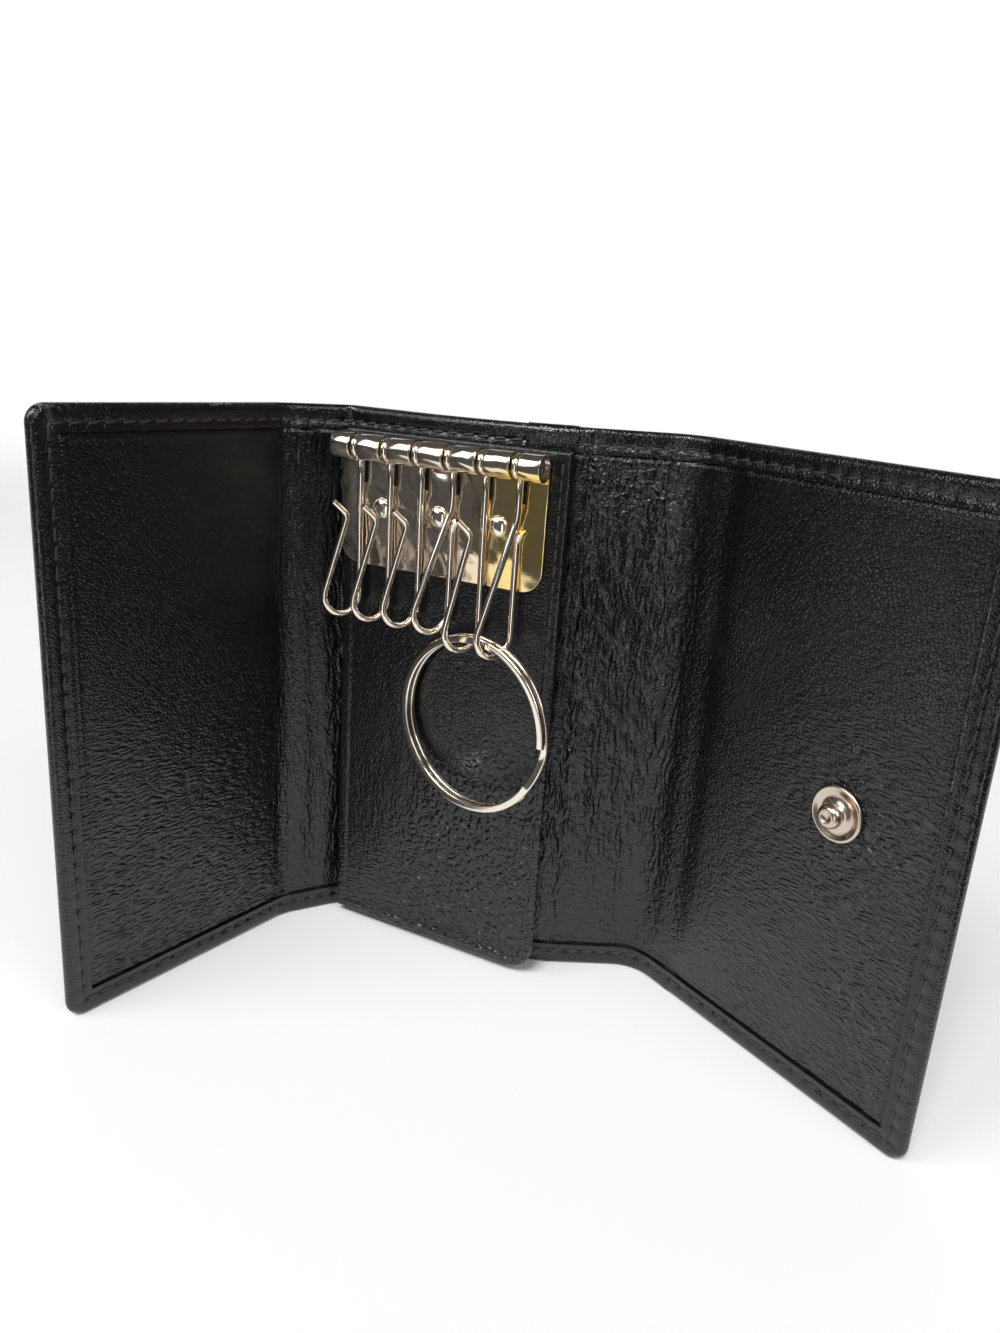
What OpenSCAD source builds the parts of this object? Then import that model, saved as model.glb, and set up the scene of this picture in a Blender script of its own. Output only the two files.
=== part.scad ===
/* [Case] */
// Height of the standing case, from its lower hem to its upper hem
case_h = 105; // [98:1:115]
// Width of the left flap, from its fold to its free edge
left_flap_w = 48.5; // [46:0.5:50]
// Width of the narrow strip between the left flap and the centre
left_spine_w = 13.5; // [13.4:0.1:15]
// Width of the flat stretch of the centre, next to the left fold
centre_flat_w = 16; // [14:0.5:18]
// Radius of the soft curve in the rest of the centre
centre_bend_r = 60; // [55:1:70]
// Angle of that curve
centre_bend_a = 31; // [29:1:32]
// Width of the first flat stretch of the right strip
right_spine_flat_w = 13; // [12:0.5:15]
// Radius of the rounded corner in the right strip
right_spine_bend_r = 9; // [7:0.5:11]
// Angle of that corner
right_spine_bend_a = 57; // [52:1:60]
// Width of the last flat stretch of the right strip
right_spine_end_w = 5; // [4:0.5:7]
// Width of the right flap, from its fold to its free edge
right_flap_w = 52.5; // [50:0.5:54]
// Corner radius of both flaps
corner_r = 3; // [2:0.5:6]

/* [Standing pose] */
// Angle by which the centre leans at the left fold
centre_lean_a = 5; // [4:0.5:6]
// Bend of the left inner fold
left_inner_bend_a = 61.5; // [55:0.5:70]
// Bend of the left outer fold
left_outer_bend_a = 24.5; // [15:0.5:35]
// Bend of the right inner fold, away from the keys
right_inner_bend_a = 4; // [0:0.5:8]

/* [Leather] */
// Thickness of the outer leather
outer_t = 0.8; // [0.6:0.05:0.9]
// Thickness of the stiffening board
board_t = 0.4; // [0.3:0.05:0.5]
// Thickness of the lining
lining_t = 0.6; // [0.5:0.05:0.7]
// Thickness of the turned edge that lies on the lining
lip_t = 0.6; // [0.5:0.05:0.6]
// Width of the turned edge
hem_w = 3.6; // [3:0.1:4.5]
// Height by which the lining swells inside the turned edge
lining_swell = 0.3; // [0.1:0.05:0.4]
// Half thickness of a fold
fold_r = 0.9; // [0.8:0.05:0.95]
// Distance from a fold's axis to the panel beside it
fold_gap = 1.2; // [1.15:0.05:1.4]
// Clearance between layers of one panel
layer_clear = 0.05; // [0.02:0.01:0.08]

/* [Key panel] */
// Width of the key panel
panel_w = 46; // [45:0.2:47]
// Thickness of its front leather
panel_front_t = 0.7; // [0.5:0.05:0.8]
// Thickness of its back leather
panel_back_t = 0.6; // [0.4:0.05:0.7]
// Radius of its lower free corner
panel_corner_r = 5.5; // [4:0.5:8]
// Height of its lower edge above the ground
panel_foot = 1.5; // [1:0.25:3]
// Distance from its left edge to the left fold
panel_start = 1.6; // [1.3:0.1:2]
// Width of the tab over the upper hem
tab_w = 9; // [7:0.5:11]
// Thickness of that tab
tab_t = 0.6; // [0.4:0.05:0.8]

/* [Hook rack] */
// Number of hooks
hook_count = 6; // [6:1:6]
// Distance from one hook to the next
hook_pitch = 6.54; // [6.2:0.02:6.6]
// Width of the slot in the barrel for each hook
slot_w = 1.8; // [1.6:0.05:2]
// Width of the barrel at each end, outside the last slot
end_knuckle_w = 4; // [3:0.1:4.5]
// Outer radius of the barrel
barrel_r = 2.4; // [2.35:0.05:2.5]
// Thickness of the rack's sheet metal
plate_t = 0.6; // [0.5:0.05:0.65]
// Depth of the plate below the rod's axis
plate_drop = 21.8; // [20:0.2:22]
// Radius of the plate's lower corners
plate_corner_r = 4; // [2:0.5:6]
// Depth of the window below each slot
window_drop = 6.5; // [5:0.25:8]
// Height of the rod's axis above the ground
rod_z = 98.3; // [97:0.1:98.6]
// Radius of the rod
rod_r = 0.95; // [0.8:0.05:1]
// Distance between the rack's rivets
rivet_pitch = 12.2; // [11.5:0.1:13]
// Radius of a rivet's shank
rivet_r = 1; // [0.8:0.05:1.2]
// Radius of a rivet's head
rivet_head_r = 1.9; // [1.6:0.05:2.1]

/* [Hooks] */
// Radius of the hook wire
wire_r = 0.6; // [0.5:0.02:0.62]
// Depth of the centre of the hook's lower bend below the rod
hook_drop = 27.5; // [26:0.25:28]
// Added depth of the two hooks that carry the ring
loaded_drop = 2.2; // [1.8:0.1:2.6]
// Radius of the lower bend, to the middle of the wire
loop_r = 3.6; // [3.5:0.05:3.7]
// Angle by which the bend is twisted on the shank
hook_twist_a = 27; // [15:1:28]
// Depth of the hook's mouth below the rod
neck_drop = 12.5; // [11:0.25:14]

/* [Split ring] */
// Outer radius of the ring
ring_r = 16.5; // [14.5:0.25:16.75]
// Radial width of its wire
ring_wire_w = 1.4; // [1.1:0.05:1.5]
// Thickness of its wire
ring_wire_t = 0.95; // [0.85:0.05:1]
// Gap between its two turns
ring_turn_gap = 0.42; // [0.41:0.01:0.45]
// Angle by which the ring turns towards its free side
ring_turn_a = 10; // [7:1:10]

/* [Snap fastener] */
// Distance from the stud's centre to the right flap's free edge
stud_inset = 21.8; // [18:0.2:26]
// Height of the stud's centre above the ground
stud_z = 51; // [45:0.5:58]
// Radius of the stud's flange and of the socket
snap_r = 4.7; // [4.2:0.1:5.5]
// Thickness of the stud's flange
flange_t = 0.8; // [0.6:0.05:1]
// Height of the stud's post above the lining
post_h = 3.3; // [3:0.05:3.4]
// Radius of the post's head
post_r = 2.1; // [1.8:0.05:2.3]
// Height of the socket above the leather
socket_h = 1.6; // [1.4:0.05:1.8]

/* [Stitching] */
// Length of one stitch
stitch_l = 2.1; // [1.6:0.1:2.4]
// Distance from one stitch to the next
stitch_pitch = 3; // [2.6:0.1:4]
// Thickness of the thread
thread_t = 0.45; // [0.3:0.05:0.6]
// Distance from the edge to the row of stitches
stitch_inset = 2.8; // [2:0.1:3]

/* [Hidden] */

// Colours
leather_colour = "#26262a";
lining_colour = "#303034";
board_colour = "#8a7a62";
thread_colour = "#1b1b1d";
nickel_colour = "#c9c5bd";

// Round shapes
$fn = 64;
wire_fn = 32;

// Length by which a cutting shape runs past what it cuts
overrun = outer_t;

// Layers of a panel, measured outwards from the middle of a fold
inner_face = lip_t + outer_t / 2;
lip_back = inner_face - lip_t;
lining_back = lining_t - lip_back;
board_back = lining_back + board_t;
flap_outer = board_back + outer_t;
spine_outer = lining_back + outer_t;
lining_face = lip_back + lining_swell;

// Where the layers end beside a fold
lining_gap = fold_gap + lip_t;
board_gap = 2 * fold_gap;

// Lowest point of the centre's curve, seen from above
centre_dip = centre_flat_w * sin(centre_lean_a) + centre_bend_r * (1 - cos(centre_lean_a));

// The key panel and the hook rack, which stands on it
panel_gap = 0.08;
rack_gap = layer_clear;
panel_back_y = -centre_dip - inner_face - panel_gap;
panel_face_y = panel_back_y - panel_back_t - panel_front_t;
panel_top = case_h - hem_w - panel_gap;
rod_y = panel_face_y - rack_gap - barrel_r;
rack_w = 2 * end_knuckle_w + slot_w + (hook_count - 1) * hook_pitch;
rack_start = panel_start - 2 * layer_clear;
first_hook_x = rack_start + end_knuckle_w + slot_w / 2;
tab_start_a = centre_bend_a - (tab_w + board_gap) / centre_bend_r * 180 / PI;
rod_recess = 0.4;
rod_collar_w = 1;
rivet_drop = plate_drop / 2;
rivet_head_h = 0.9;
rivet_tail_h = 0.3;
rivet_tail_r = 1.5 * rivet_r;

// Hook wire: the eye, the straight shank and the pear-shaped loop
eye_clear = 0.05;
wire_ball_share = 1.04;
ball_r = wire_ball_share * wire_r;
wire_inset = wire_r / 10;
eye_r = rod_r + eye_clear + ball_r;
shank_back = 0.9;
shank_drop = 9;
loop_back = 1.1;
neck_front = 1.6;
tip_front = 4.6;
tip_drop = 9.9;
side_tip = 1;
side_tip_rise = 1.4;
loop_centre_y = loop_back - loop_r;
loop_reach = shank_back - loop_centre_y;
loaded_hooks = [4, 5];
mirrored_hooks = [3, 5];

// Split ring: two flat turns, joined where one steps over to the other
ring_mean_r = ring_r - ring_wire_w / 2;
ring_step = (ring_wire_t + ring_turn_gap) / 2;
ring_seat_drop = 1.4;
ring_step_a = 24;
ring_end_gap_a = 8;
ring_step_start_a = 360 - ring_end_gap_a - ring_step_a;
ring_turns_a = 360 + ring_step_start_a - ring_end_gap_a;
ring_turn_rings = 48;
ring_rings = round(ring_turns_a / 360 * ring_turn_rings) + 1;
ring_chamfer = ring_wire_t / 4;
ring_reach = hook_pitch / 2 / cos(ring_turn_a);
ring_hooks_x = first_hook_x + (hook_count - 1.5) * hook_pitch - loop_reach * sin(hook_twist_a);
ring_axis_y = rod_y + shank_back - loop_reach * cos(hook_twist_a);
ring_axis_z = rod_z - hook_drop - loaded_drop;
ring_centre_drop = ring_seat_drop + sqrt(pow(ring_mean_r, 2) - pow(ring_reach, 2));

// Snap fastener
snap_shank_r = 1.4;
snap_back_r = 3.2;
snap_bore_clear = 0.25;
snap_wall = 0.4;
snap_meet_gap = 0.4;
socket_bore_r = post_r + snap_bore_clear;
socket_floor_t = 0.2;
post_neck_r = 0.8 * post_r;
rim_roll_r = flange_t / 2;

// The closed case, which sets where the socket sits under the stud
closed_gap = flap_outer + socket_h + snap_meet_gap + flange_t + lining_face;
right_chord = [
    right_spine_flat_w + right_spine_bend_r * sin(right_spine_bend_a)
        + right_spine_end_w * cos(right_spine_bend_a),
    -right_spine_bend_r * (1 - cos(right_spine_bend_a)) - right_spine_end_w * sin(right_spine_bend_a)
];
right_chord_l = norm(right_chord);
right_chord_a = atan2(right_chord.y, right_chord.x);
centre_end_a = centre_bend_a - centre_lean_a;
centre_end = [
    centre_flat_w * cos(centre_lean_a)
        + centre_bend_r * (sin(centre_end_a) + sin(centre_lean_a)),
    -centre_flat_w * sin(centre_lean_a)
        + centre_bend_r * (cos(centre_lean_a) - cos(centre_end_a))
];
closed_rise = centre_end.y + left_spine_w + closed_gap;
closed_right_x = centre_end.x + sqrt(pow(right_chord_l, 2) - pow(closed_rise, 2));
socket_x = closed_right_x - right_flap_w + stud_inset;
right_inner_close_a = centre_end_a + right_inner_bend_a + right_chord_a + asin(closed_rise / right_chord_l);
right_outer_close_a = 180 + centre_end_a + right_inner_bend_a - right_spine_bend_a - right_inner_close_a;
left_inner_close_a = 90 + centre_lean_a - left_inner_bend_a;
left_outer_close_a = 90 - left_outer_bend_a;

// Places along the plan, each module moving its children to the end of a stretch

module after_line(l) {
    translate([l, 0, 0]) children();
}

module after_left_bend(r, a) {
    translate([r * sin(a), r * (1 - cos(a)), 0]) rotate([0, 0, a]) children();
}

module after_right_bend(r, a) {
    translate([r * sin(a), -r * (1 - cos(a)), 0]) rotate([0, 0, -a]) children();
}

module at_centre() {
    rotate([0, 0, -centre_lean_a]) children();
}

module at_centre_end() {
    at_centre() after_line(centre_flat_w) after_left_bend(centre_bend_r, centre_bend_a) children();
}

module at_left_spine() {
    rotate([0, 0, left_inner_bend_a - centre_lean_a]) children();
}

module at_left_flap() {
    at_left_spine() after_line(-left_spine_w) rotate([0, 0, left_outer_bend_a]) children();
}

module at_right_spine() {
    at_centre_end() rotate([0, 0, right_inner_bend_a]) children();
}

module at_right_flap() {
    at_right_spine() after_line(right_spine_flat_w)
        after_right_bend(right_spine_bend_r, right_spine_bend_a)
        after_line(right_spine_end_w) children();
}

module at_panel() {
    translate([panel_start, panel_back_y, 0]) children();
}

module at_rod() {
    translate([rack_start, rod_y, rod_z]) children();
}

module at_hook(i) {
    translate([first_hook_x + i * hook_pitch, rod_y, rod_z]) children();
}

module at_ring() {
    translate([ring_hooks_x, ring_axis_y, ring_axis_z - ring_centre_drop])
        rotate([0, 0, -ring_turn_a]) children();
}

// Sweeps of a profile drawn with thickness across and height up

module sweep_line(l) {
    rotate([90, 0, 90]) linear_extrude(l) children();
}

module sweep_left_bend(r, a) {
    translate([0, r, 0]) rotate([0, 0, -90]) rotate_extrude(angle = a)
        translate([r, 0]) mirror([1, 0]) children();
}

module sweep_right_bend(r, a) {
    translate([0, -r, 0]) rotate([0, 0, 90 - a]) rotate_extrude(angle = a)
        translate([r, 0]) children();
}

// Profiles and flat sheets

module bar(t0, t1, z0, z1) {
    translate([t0, z0]) square([t1 - t0, z1 - z0]);
}

module shell_profile(back, outer) {
    difference() {
        bar(-inner_face, outer, 0, case_h);
        bar(-lip_back, back, outer_t, case_h - outer_t);
        bar(-inner_face - overrun, 0, hem_w, case_h - hem_w);
    }
}

module lining_profile() {
    bar(-lip_back, lining_back, outer_t + layer_clear, case_h - outer_t - layer_clear);
    bar(-lining_face, 0, hem_w + layer_clear, case_h - hem_w - layer_clear);
}

module board_profile() {
    bar(lining_back, board_back, outer_t + layer_clear, case_h - outer_t - layer_clear);
}

module fold_profile() {
    bar(-fold_r, fold_r, 0, case_h);
}

module flap_outline(x0, w, inset) {
    r = max(corner_r - inset, outer_t);
    translate([x0, inset]) square([w - inset - r - x0, case_h - 2 * inset]);
    translate([x0, inset + r]) square([w - inset - x0, case_h - 2 * (inset + r)]);
    for (z = [inset + r, case_h - inset - r]) translate([w - inset - r, z]) circle(r);
}

module sheet(t0, t1) {
    translate([0, t1, 0]) rotate([90, 0, 0]) linear_extrude(t1 - t0) children();
}

module fold_roll() {
    cylinder(h = case_h, r = fold_r);
}

// One row of stitches along a stretch, on the inner face
module stitch(face) {
    translate([0, face - thread_t, -thread_t / 2]) cube([stitch_l, thread_t, thread_t]);
}

module stitch_line(l, z, face) {
    count = floor((l - stitch_l) / stitch_pitch) + 1;
    start = (l - (count - 1) * stitch_pitch - stitch_l) / 2;
    for (i = [0 : count - 1]) translate([start + i * stitch_pitch, 0, z]) stitch(face);
}

module stitch_column(h, x, z0, face) {
    count = floor((h - stitch_l) / stitch_pitch) + 1;
    start = z0 + (h - (count - 1) * stitch_pitch - stitch_l) / 2;
    for (i = [0 : count - 1]) {
        translate([x, 0, start + i * stitch_pitch]) rotate([0, -90, 0]) stitch(face);
    }
}

module stitch_rows(l, face) {
    for (z = [stitch_inset, case_h - stitch_inset]) stitch_line(l, z, face);
}

// Shared pieces of the two flaps, drawn from the fold towards the free edge

module flap_shell(w) {
    difference() {
        sheet(-inner_face, flap_outer) flap_outline(fold_gap, w, 0);
        sheet(-lip_back, board_back) flap_outline(fold_gap - overrun, w, outer_t);
        sheet(-inner_face - overrun, 0) flap_outline(fold_gap - overrun, w, hem_w);
    }
}

module flap_board(w) {
    sheet(lining_back, board_back) flap_outline(board_gap, w, outer_t + layer_clear);
}

module flap_lining(w) {
    sheet(-lip_back, lining_back) flap_outline(lining_gap, w, outer_t + layer_clear);
    sheet(-lining_face, 0) flap_outline(lining_gap, w, hem_w + layer_clear);
}

module flap_stitches(w) {
    row_l = w - fold_gap - 2 * stitch_inset;
    column_h = case_h - 4 * stitch_inset;
    after_line(fold_gap + stitch_inset / 2) stitch_rows(row_l, -inner_face);
    stitch_column(column_h, w - stitch_inset, 2 * stitch_inset, -inner_face);
}

// Cylinder through a panel, at a height, between two depths
module across(x, z, t0, t1, r) {
    translate([x, t0, z]) rotate([-90, 0, 0]) cylinder(h = t1 - t0, r = r);
}

module spun(x, z) {
    translate([x, 0, z]) rotate([-90, 0, 0]) rotate_extrude() children();
}

// Left flap

module left_flap_shell() {
    color(leather_colour) at_left_flap() difference() {
        mirror([1, 0, 0]) flap_shell(left_flap_w);
        across(-socket_x, stud_z, 0, flap_outer + overrun, socket_bore_r + snap_wall + layer_clear);
    }
}

module left_flap_board() {
    color(board_colour) at_left_flap() difference() {
        mirror([1, 0, 0]) flap_board(left_flap_w);
        across(-socket_x, stud_z, 0, flap_outer, snap_back_r + layer_clear);
    }
}

module left_flap_lining() {
    color(lining_colour) at_left_flap() mirror([1, 0, 0]) flap_lining(left_flap_w);
}

module left_flap_stitching() {
    color(thread_colour) at_left_flap() mirror([1, 0, 0]) flap_stitches(left_flap_w);
}

module snap_socket() {
    outer_r = socket_bore_r + snap_wall;
    color(nickel_colour) at_left_flap() difference() {
        union() {
            across(-socket_x, stud_z, board_back, flap_outer + socket_h - rim_roll_r, outer_r);
            across(-socket_x, stud_z, flap_outer, flap_outer + flange_t / 2, snap_r);
            spun(-socket_x, stud_z) {
                translate([outer_r, flap_outer]) square([rim_roll_r, socket_h - rim_roll_r]);
                translate([outer_r, flap_outer + socket_h - rim_roll_r]) circle(rim_roll_r);
                translate([snap_r - rim_roll_r, flap_outer + flange_t / 2]) circle(rim_roll_r);
            }
        }
        across(-socket_x, stud_z, board_back + socket_floor_t, flap_outer + 2 * socket_h, socket_bore_r);
    }
}

module snap_socket_back() {
    color(nickel_colour) at_left_flap()
        across(-socket_x, stud_z, lining_back, board_back, snap_back_r);
}

// Left strip

module left_spine_shell() {
    color(leather_colour) at_left_spine() {
        after_line(fold_gap - left_spine_w)
            sweep_line(left_spine_w - 2 * fold_gap) shell_profile(lining_back, spine_outer);
        after_line(-left_spine_w) {
            sweep_line(fold_gap) fold_profile();
            fold_roll();
        }
    }
}

module left_spine_lining() {
    color(lining_colour) at_left_spine() after_line(lining_gap - left_spine_w)
        sweep_line(left_spine_w - 2 * lining_gap) lining_profile();
}

module left_spine_stitching() {
    color(thread_colour) at_left_spine() after_line(fold_gap - left_spine_w)
        stitch_rows(left_spine_w - 2 * fold_gap, -inner_face);
}

// Centre

module centre_sweep(gap) {
    end_a = gap / centre_bend_r * 180 / PI;
    at_centre() {
        after_line(gap) sweep_line(centre_flat_w - gap) children();
        after_line(centre_flat_w) sweep_left_bend(centre_bend_r, centre_bend_a - end_a) children();
    }
}

module centre_shell() {
    color(leather_colour) {
        centre_sweep(fold_gap) shell_profile(board_back, flap_outer);
        at_centre() {
            sweep_line(fold_gap) fold_profile();
            fold_roll();
        }
        at_centre_end() {
            after_line(-fold_gap) sweep_line(fold_gap) fold_profile();
            fold_roll();
        }
    }
}

module centre_board() {
    color(board_colour) centre_sweep(board_gap) board_profile();
}

module centre_lining() {
    color(lining_colour) centre_sweep(lining_gap) lining_profile();
}

module centre_stitching() {
    step_a = stitch_pitch / centre_bend_r * 180 / PI;
    row_r = centre_bend_r + inner_face;
    top_z = case_h - stitch_inset;
    color(thread_colour) at_centre() {
        after_line(fold_gap) stitch_line(centre_flat_w - fold_gap, top_z, -inner_face);
        after_line(centre_flat_w) for (i = [0 : floor(tab_start_a / step_a) - 2]) {
            translate([0, centre_bend_r, top_z]) rotate([0, 0, (i + 1 / 2) * step_a]) stitch(-row_r);
        }
    }
}

// Key panel, a separate leaf in front of the centre

module panel_outline(inset) {
    r = max(panel_corner_r - inset, outer_t);
    x1 = panel_w - inset;
    z0 = panel_foot + inset;
    translate([inset, z0 + r]) square([x1 - inset, panel_top - inset - z0 - r]);
    translate([inset, z0]) square([x1 - inset - r, r]);
    translate([x1 - r, z0 + r]) circle(r);
}

module rivet_places() {
    middle = rack_start - panel_start + rack_w / 2;
    for (i = [-1 : 1]) translate([middle + i * rivet_pitch, 0, rod_z - rivet_drop]) children();
}

module rivet_bores() {
    rivet_places() across(0, 0, -barrel_r * 2, overrun, rivet_r + layer_clear);
}

module key_panel_front() {
    front = panel_front_t + panel_back_t;
    color(leather_colour) at_panel() difference() {
        union() {
            sheet(-front, -panel_back_t) panel_outline(0);
            sheet(-panel_back_t, 0) difference() {
                panel_outline(0);
                panel_outline(outer_t);
            }
        }
        rivet_bores();
    }
}

module key_panel_back() {
    color(lining_colour) at_panel() difference() {
        sheet(-panel_back_t, 0) panel_outline(outer_t + layer_clear);
        rivet_bores();
    }
}

module key_panel_stitching() {
    face = -panel_front_t - panel_back_t;
    inset = hem_w / 2;
    color(thread_colour) at_panel() {
        after_line(inset) stitch_line(panel_w - panel_corner_r - inset, panel_foot + inset, face);
        stitch_column(panel_top - panel_foot - panel_corner_r - inset, panel_w - inset,
            panel_foot + panel_corner_r, face);
    }
}

module panel_top_tab() {
    wide_a = tab_w / centre_bend_r * 180 / PI;
    leg = hem_w - layer_clear;
    color(leather_colour) at_centre() after_line(centre_flat_w)
        after_left_bend(centre_bend_r, tab_start_a) sweep_left_bend(centre_bend_r, wide_a) difference() {
            bar(-inner_face - tab_t, flap_outer + tab_t, case_h - leg, case_h + tab_t);
            bar(-inner_face - layer_clear, flap_outer + layer_clear, 0, case_h + layer_clear);
        }
}

// Hook rack

module rack_plate_outline() {
    w = rack_w;
    translate([0, plate_corner_r - plate_drop]) square([w, plate_drop - plate_corner_r]);
    translate([plate_corner_r, -plate_drop]) square([w - 2 * plate_corner_r, plate_corner_r]);
    for (x = [plate_corner_r, w - plate_corner_r]) {
        translate([x, plate_corner_r - plate_drop]) circle(plate_corner_r);
    }
}

module hook_rack() {
    color(nickel_colour) at_rod() difference() {
        union() {
            sheet(barrel_r - plate_t, barrel_r) rack_plate_outline();
            rotate([0, 90, 0]) cylinder(h = rack_w, r = barrel_r);
        }
        translate([-overrun, 0, 0]) rotate([0, 90, 0])
            cylinder(h = rack_w + 2 * overrun, r = barrel_r - plate_t);
        for (i = [0 : hook_count - 1]) {
            translate([end_knuckle_w + i * hook_pitch, -2 * barrel_r, -window_drop])
                cube([slot_w, 4 * barrel_r, window_drop + 2 * barrel_r]);
        }
        translate([rack_w / 2, 0, -rivet_drop]) for (i = [-1 : 1]) {
            across(i * rivet_pitch, 0, 0, 2 * barrel_r, rivet_r + layer_clear);
        }
    }
}

module hook_rod() {
    l = rack_w - 2 * rod_recess;
    collar_r = barrel_r - plate_t - eye_clear;
    color(nickel_colour) at_rod() after_line(rod_recess) rotate([0, 90, 0]) {
        cylinder(h = l, r = rod_r);
        cylinder(h = rod_collar_w, r = collar_r);
        translate([0, 0, l - rod_collar_w]) cylinder(h = rod_collar_w, r = collar_r);
    }
}

module rack_rivets() {
    tail_y = panel_back_y;
    head_y = rod_y + barrel_r - plate_t;
    color(nickel_colour) translate([rack_start + rack_w / 2, 0, rod_z - rivet_drop])
        for (i = [-1 : 1]) translate([i * rivet_pitch, 0, 0]) {
            across(0, 0, head_y - layer_clear, tail_y + layer_clear, rivet_r);
            across(0, 0, tail_y, tail_y + rivet_tail_h, rivet_tail_r);
            translate([0, head_y, 0]) rotate([90, 0, 0]) rotate_extrude() intersection() {
                translate([0, rivet_head_h - rivet_head_r * 1.5]) circle(rivet_head_r * 1.5);
                square([rivet_head_r, rivet_head_h]);
            }
        }
}

// Hooks, drawn in the plane across the rod, with the rod at the origin

module wire(p, q) {
    d = q - p;
    l = norm(d);
    translate(p) rotate([0, acos(d.z / l), atan2(d.y, d.x)]) translate([0, 0, wire_inset])
        cylinder(h = l - 2 * wire_inset, r = wire_r, $fn = wire_fn);
}

module wire_ball(p) {
    translate(p) sphere(ball_r, $fn = wire_fn);
}

// Angle from the vertical of the line that leaves the lower bend and passes a point on its side
function lean(p, c, side) = side * asin(loop_r / norm(p - c)) + atan2(p.x - c.x, p.y - c.y);

module twisted() {
    translate([0, shank_back, 0]) rotate([0, 0, -hook_twist_a]) translate([0, -shank_back, 0]) children();
}

module hook_eye() {
    rotate([0, 90, 0]) rotate_extrude() translate([eye_r, 0]) circle(ball_r, $fn = wire_fn);
}

module hook(drop, mirrored) {
    c = [loop_centre_y, -drop];
    shank = [shank_back, -shank_drop];
    neck = mirrored ? [loop_back, -neck_drop] : [-neck_front, -neck_drop];
    front_a = lean(mirrored ? shank : neck, c, 1);
    back_a = lean(mirrored ? neck : shank, c, -1);
    front = c + loop_r * [-cos(front_a), sin(front_a)];
    back = c + loop_r * [cos(back_a), -sin(back_a)];
    shank_foot = mirrored ? front : back;
    free_foot = mirrored ? back : front;
    tip = mirrored
        ? [side_tip, loop_back, side_tip_rise - neck_drop]
        : [0, -tip_front, -tip_drop];
    inset_a = wire_inset / loop_r * 180 / PI;
    color(nickel_colour) {
        hook_eye();
        wire([0, shank_back, -sqrt(pow(eye_r, 2) - pow(shank_back, 2))], [0, shank.x, shank.y]);
        wire_ball([0, shank.x, shank.y]);
        twisted() {
            wire([0, shank.x, shank.y], [0, shank_foot.x, shank_foot.y]);
            wire_ball([0, shank_foot.x, shank_foot.y]);
            translate([0, c.x, c.y]) rotate([90, 0, 90]) rotate([0, 0, 180 - front_a + inset_a])
                rotate_extrude(angle = 180 + front_a - back_a - 2 * inset_a)
                translate([loop_r, 0]) circle(wire_r, $fn = wire_fn);
            wire_ball([0, free_foot.x, free_foot.y]);
            wire([0, free_foot.x, free_foot.y], [0, neck.x, neck.y]);
            wire_ball([0, neck.x, neck.y]);
            wire([0, neck.x, neck.y], tip);
            wire_ball(tip);
        }
    }
}

module placed_hook(i) {
    loaded = len([for (k = loaded_hooks) if (k == i) k]) > 0;
    mirrored = len([for (k = mirrored_hooks) if (k == i) k]) > 0;
    at_hook(i) hook(hook_drop + (loaded ? loaded_drop : 0), mirrored);
}

module hook_1() {
    placed_hook(0);
}

module hook_2() {
    placed_hook(1);
}

module hook_3() {
    placed_hook(2);
}

module hook_4() {
    placed_hook(3);
}

module hook_5() {
    placed_hook(4);
}

module hook_6() {
    placed_hook(5);
}

// Split ring: one flat wire wound twice, with a smooth step from one turn to the other

function ease(t) = let (u = min(max(t, 0), 1)) u * u * (3 - 2 * u);
function ring_offset(a) = ring_step * (2 * ease((a - ring_step_start_a) / ring_step_a) - 1);
function ring_section(side_t, side_w) = [
    [side_t - ring_chamfer, side_w], [side_t, side_w - ring_chamfer],
    [side_t, ring_chamfer - side_w], [side_t - ring_chamfer, -side_w],
    [ring_chamfer - side_t, -side_w], [-side_t, ring_chamfer - side_w],
    [-side_t, side_w - ring_chamfer], [ring_chamfer - side_t, side_w]
];
ring_outline = ring_section(ring_wire_t / 2, ring_wire_w / 2);
ring_sides = len(ring_outline);
ring_angles = [for (i = [0 : ring_rings - 1]) i * ring_turns_a / (ring_rings - 1)];
ring_points = [
    for (a = ring_angles, p = ring_outline)
        [(ring_mean_r + p.y) * cos(a), ring_offset(a) + p.x, (ring_mean_r + p.y) * sin(a)]
];
ring_faces = [
    for (i = [0 : ring_rings - 2], j = [0 : ring_sides - 1])
        let (k = (j + 1) % ring_sides, a = i * ring_sides, b = a + ring_sides)
            each [[a + j, b + j, b + k], [a + j, b + k, a + k]],
    for (j = [1 : ring_sides - 2]) each [
        [0, j, j + 1],
        [(ring_rings - 1) * ring_sides, (ring_rings - 1) * ring_sides + j + 1,
            (ring_rings - 1) * ring_sides + j]
    ]
];

// Least distance between points of the two turns
ring_gap = min([
    for (i = [0 : ring_rings - 1 - ring_turn_rings], k = [-2 : 2], p = [0 : ring_sides - 1], q = [0 : ring_sides - 1])
        let (j = min(i + ring_turn_rings + k, ring_rings - 1))
            norm(ring_points[i * ring_sides + p] - ring_points[j * ring_sides + q])
]);

module split_ring() {
    echo(least_gap_between_the_turns = ring_gap);
    color(nickel_colour) at_ring() polyhedron(ring_points, ring_faces, convexity = 4);
}

// Right strip

module right_spine_sweep(gap) {
    at_right_spine() {
        after_line(gap) sweep_line(right_spine_flat_w - gap) children();
        after_line(right_spine_flat_w) {
            sweep_right_bend(right_spine_bend_r, right_spine_bend_a) children();
            after_right_bend(right_spine_bend_r, right_spine_bend_a)
                sweep_line(right_spine_end_w - gap) children();
        }
    }
}

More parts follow.
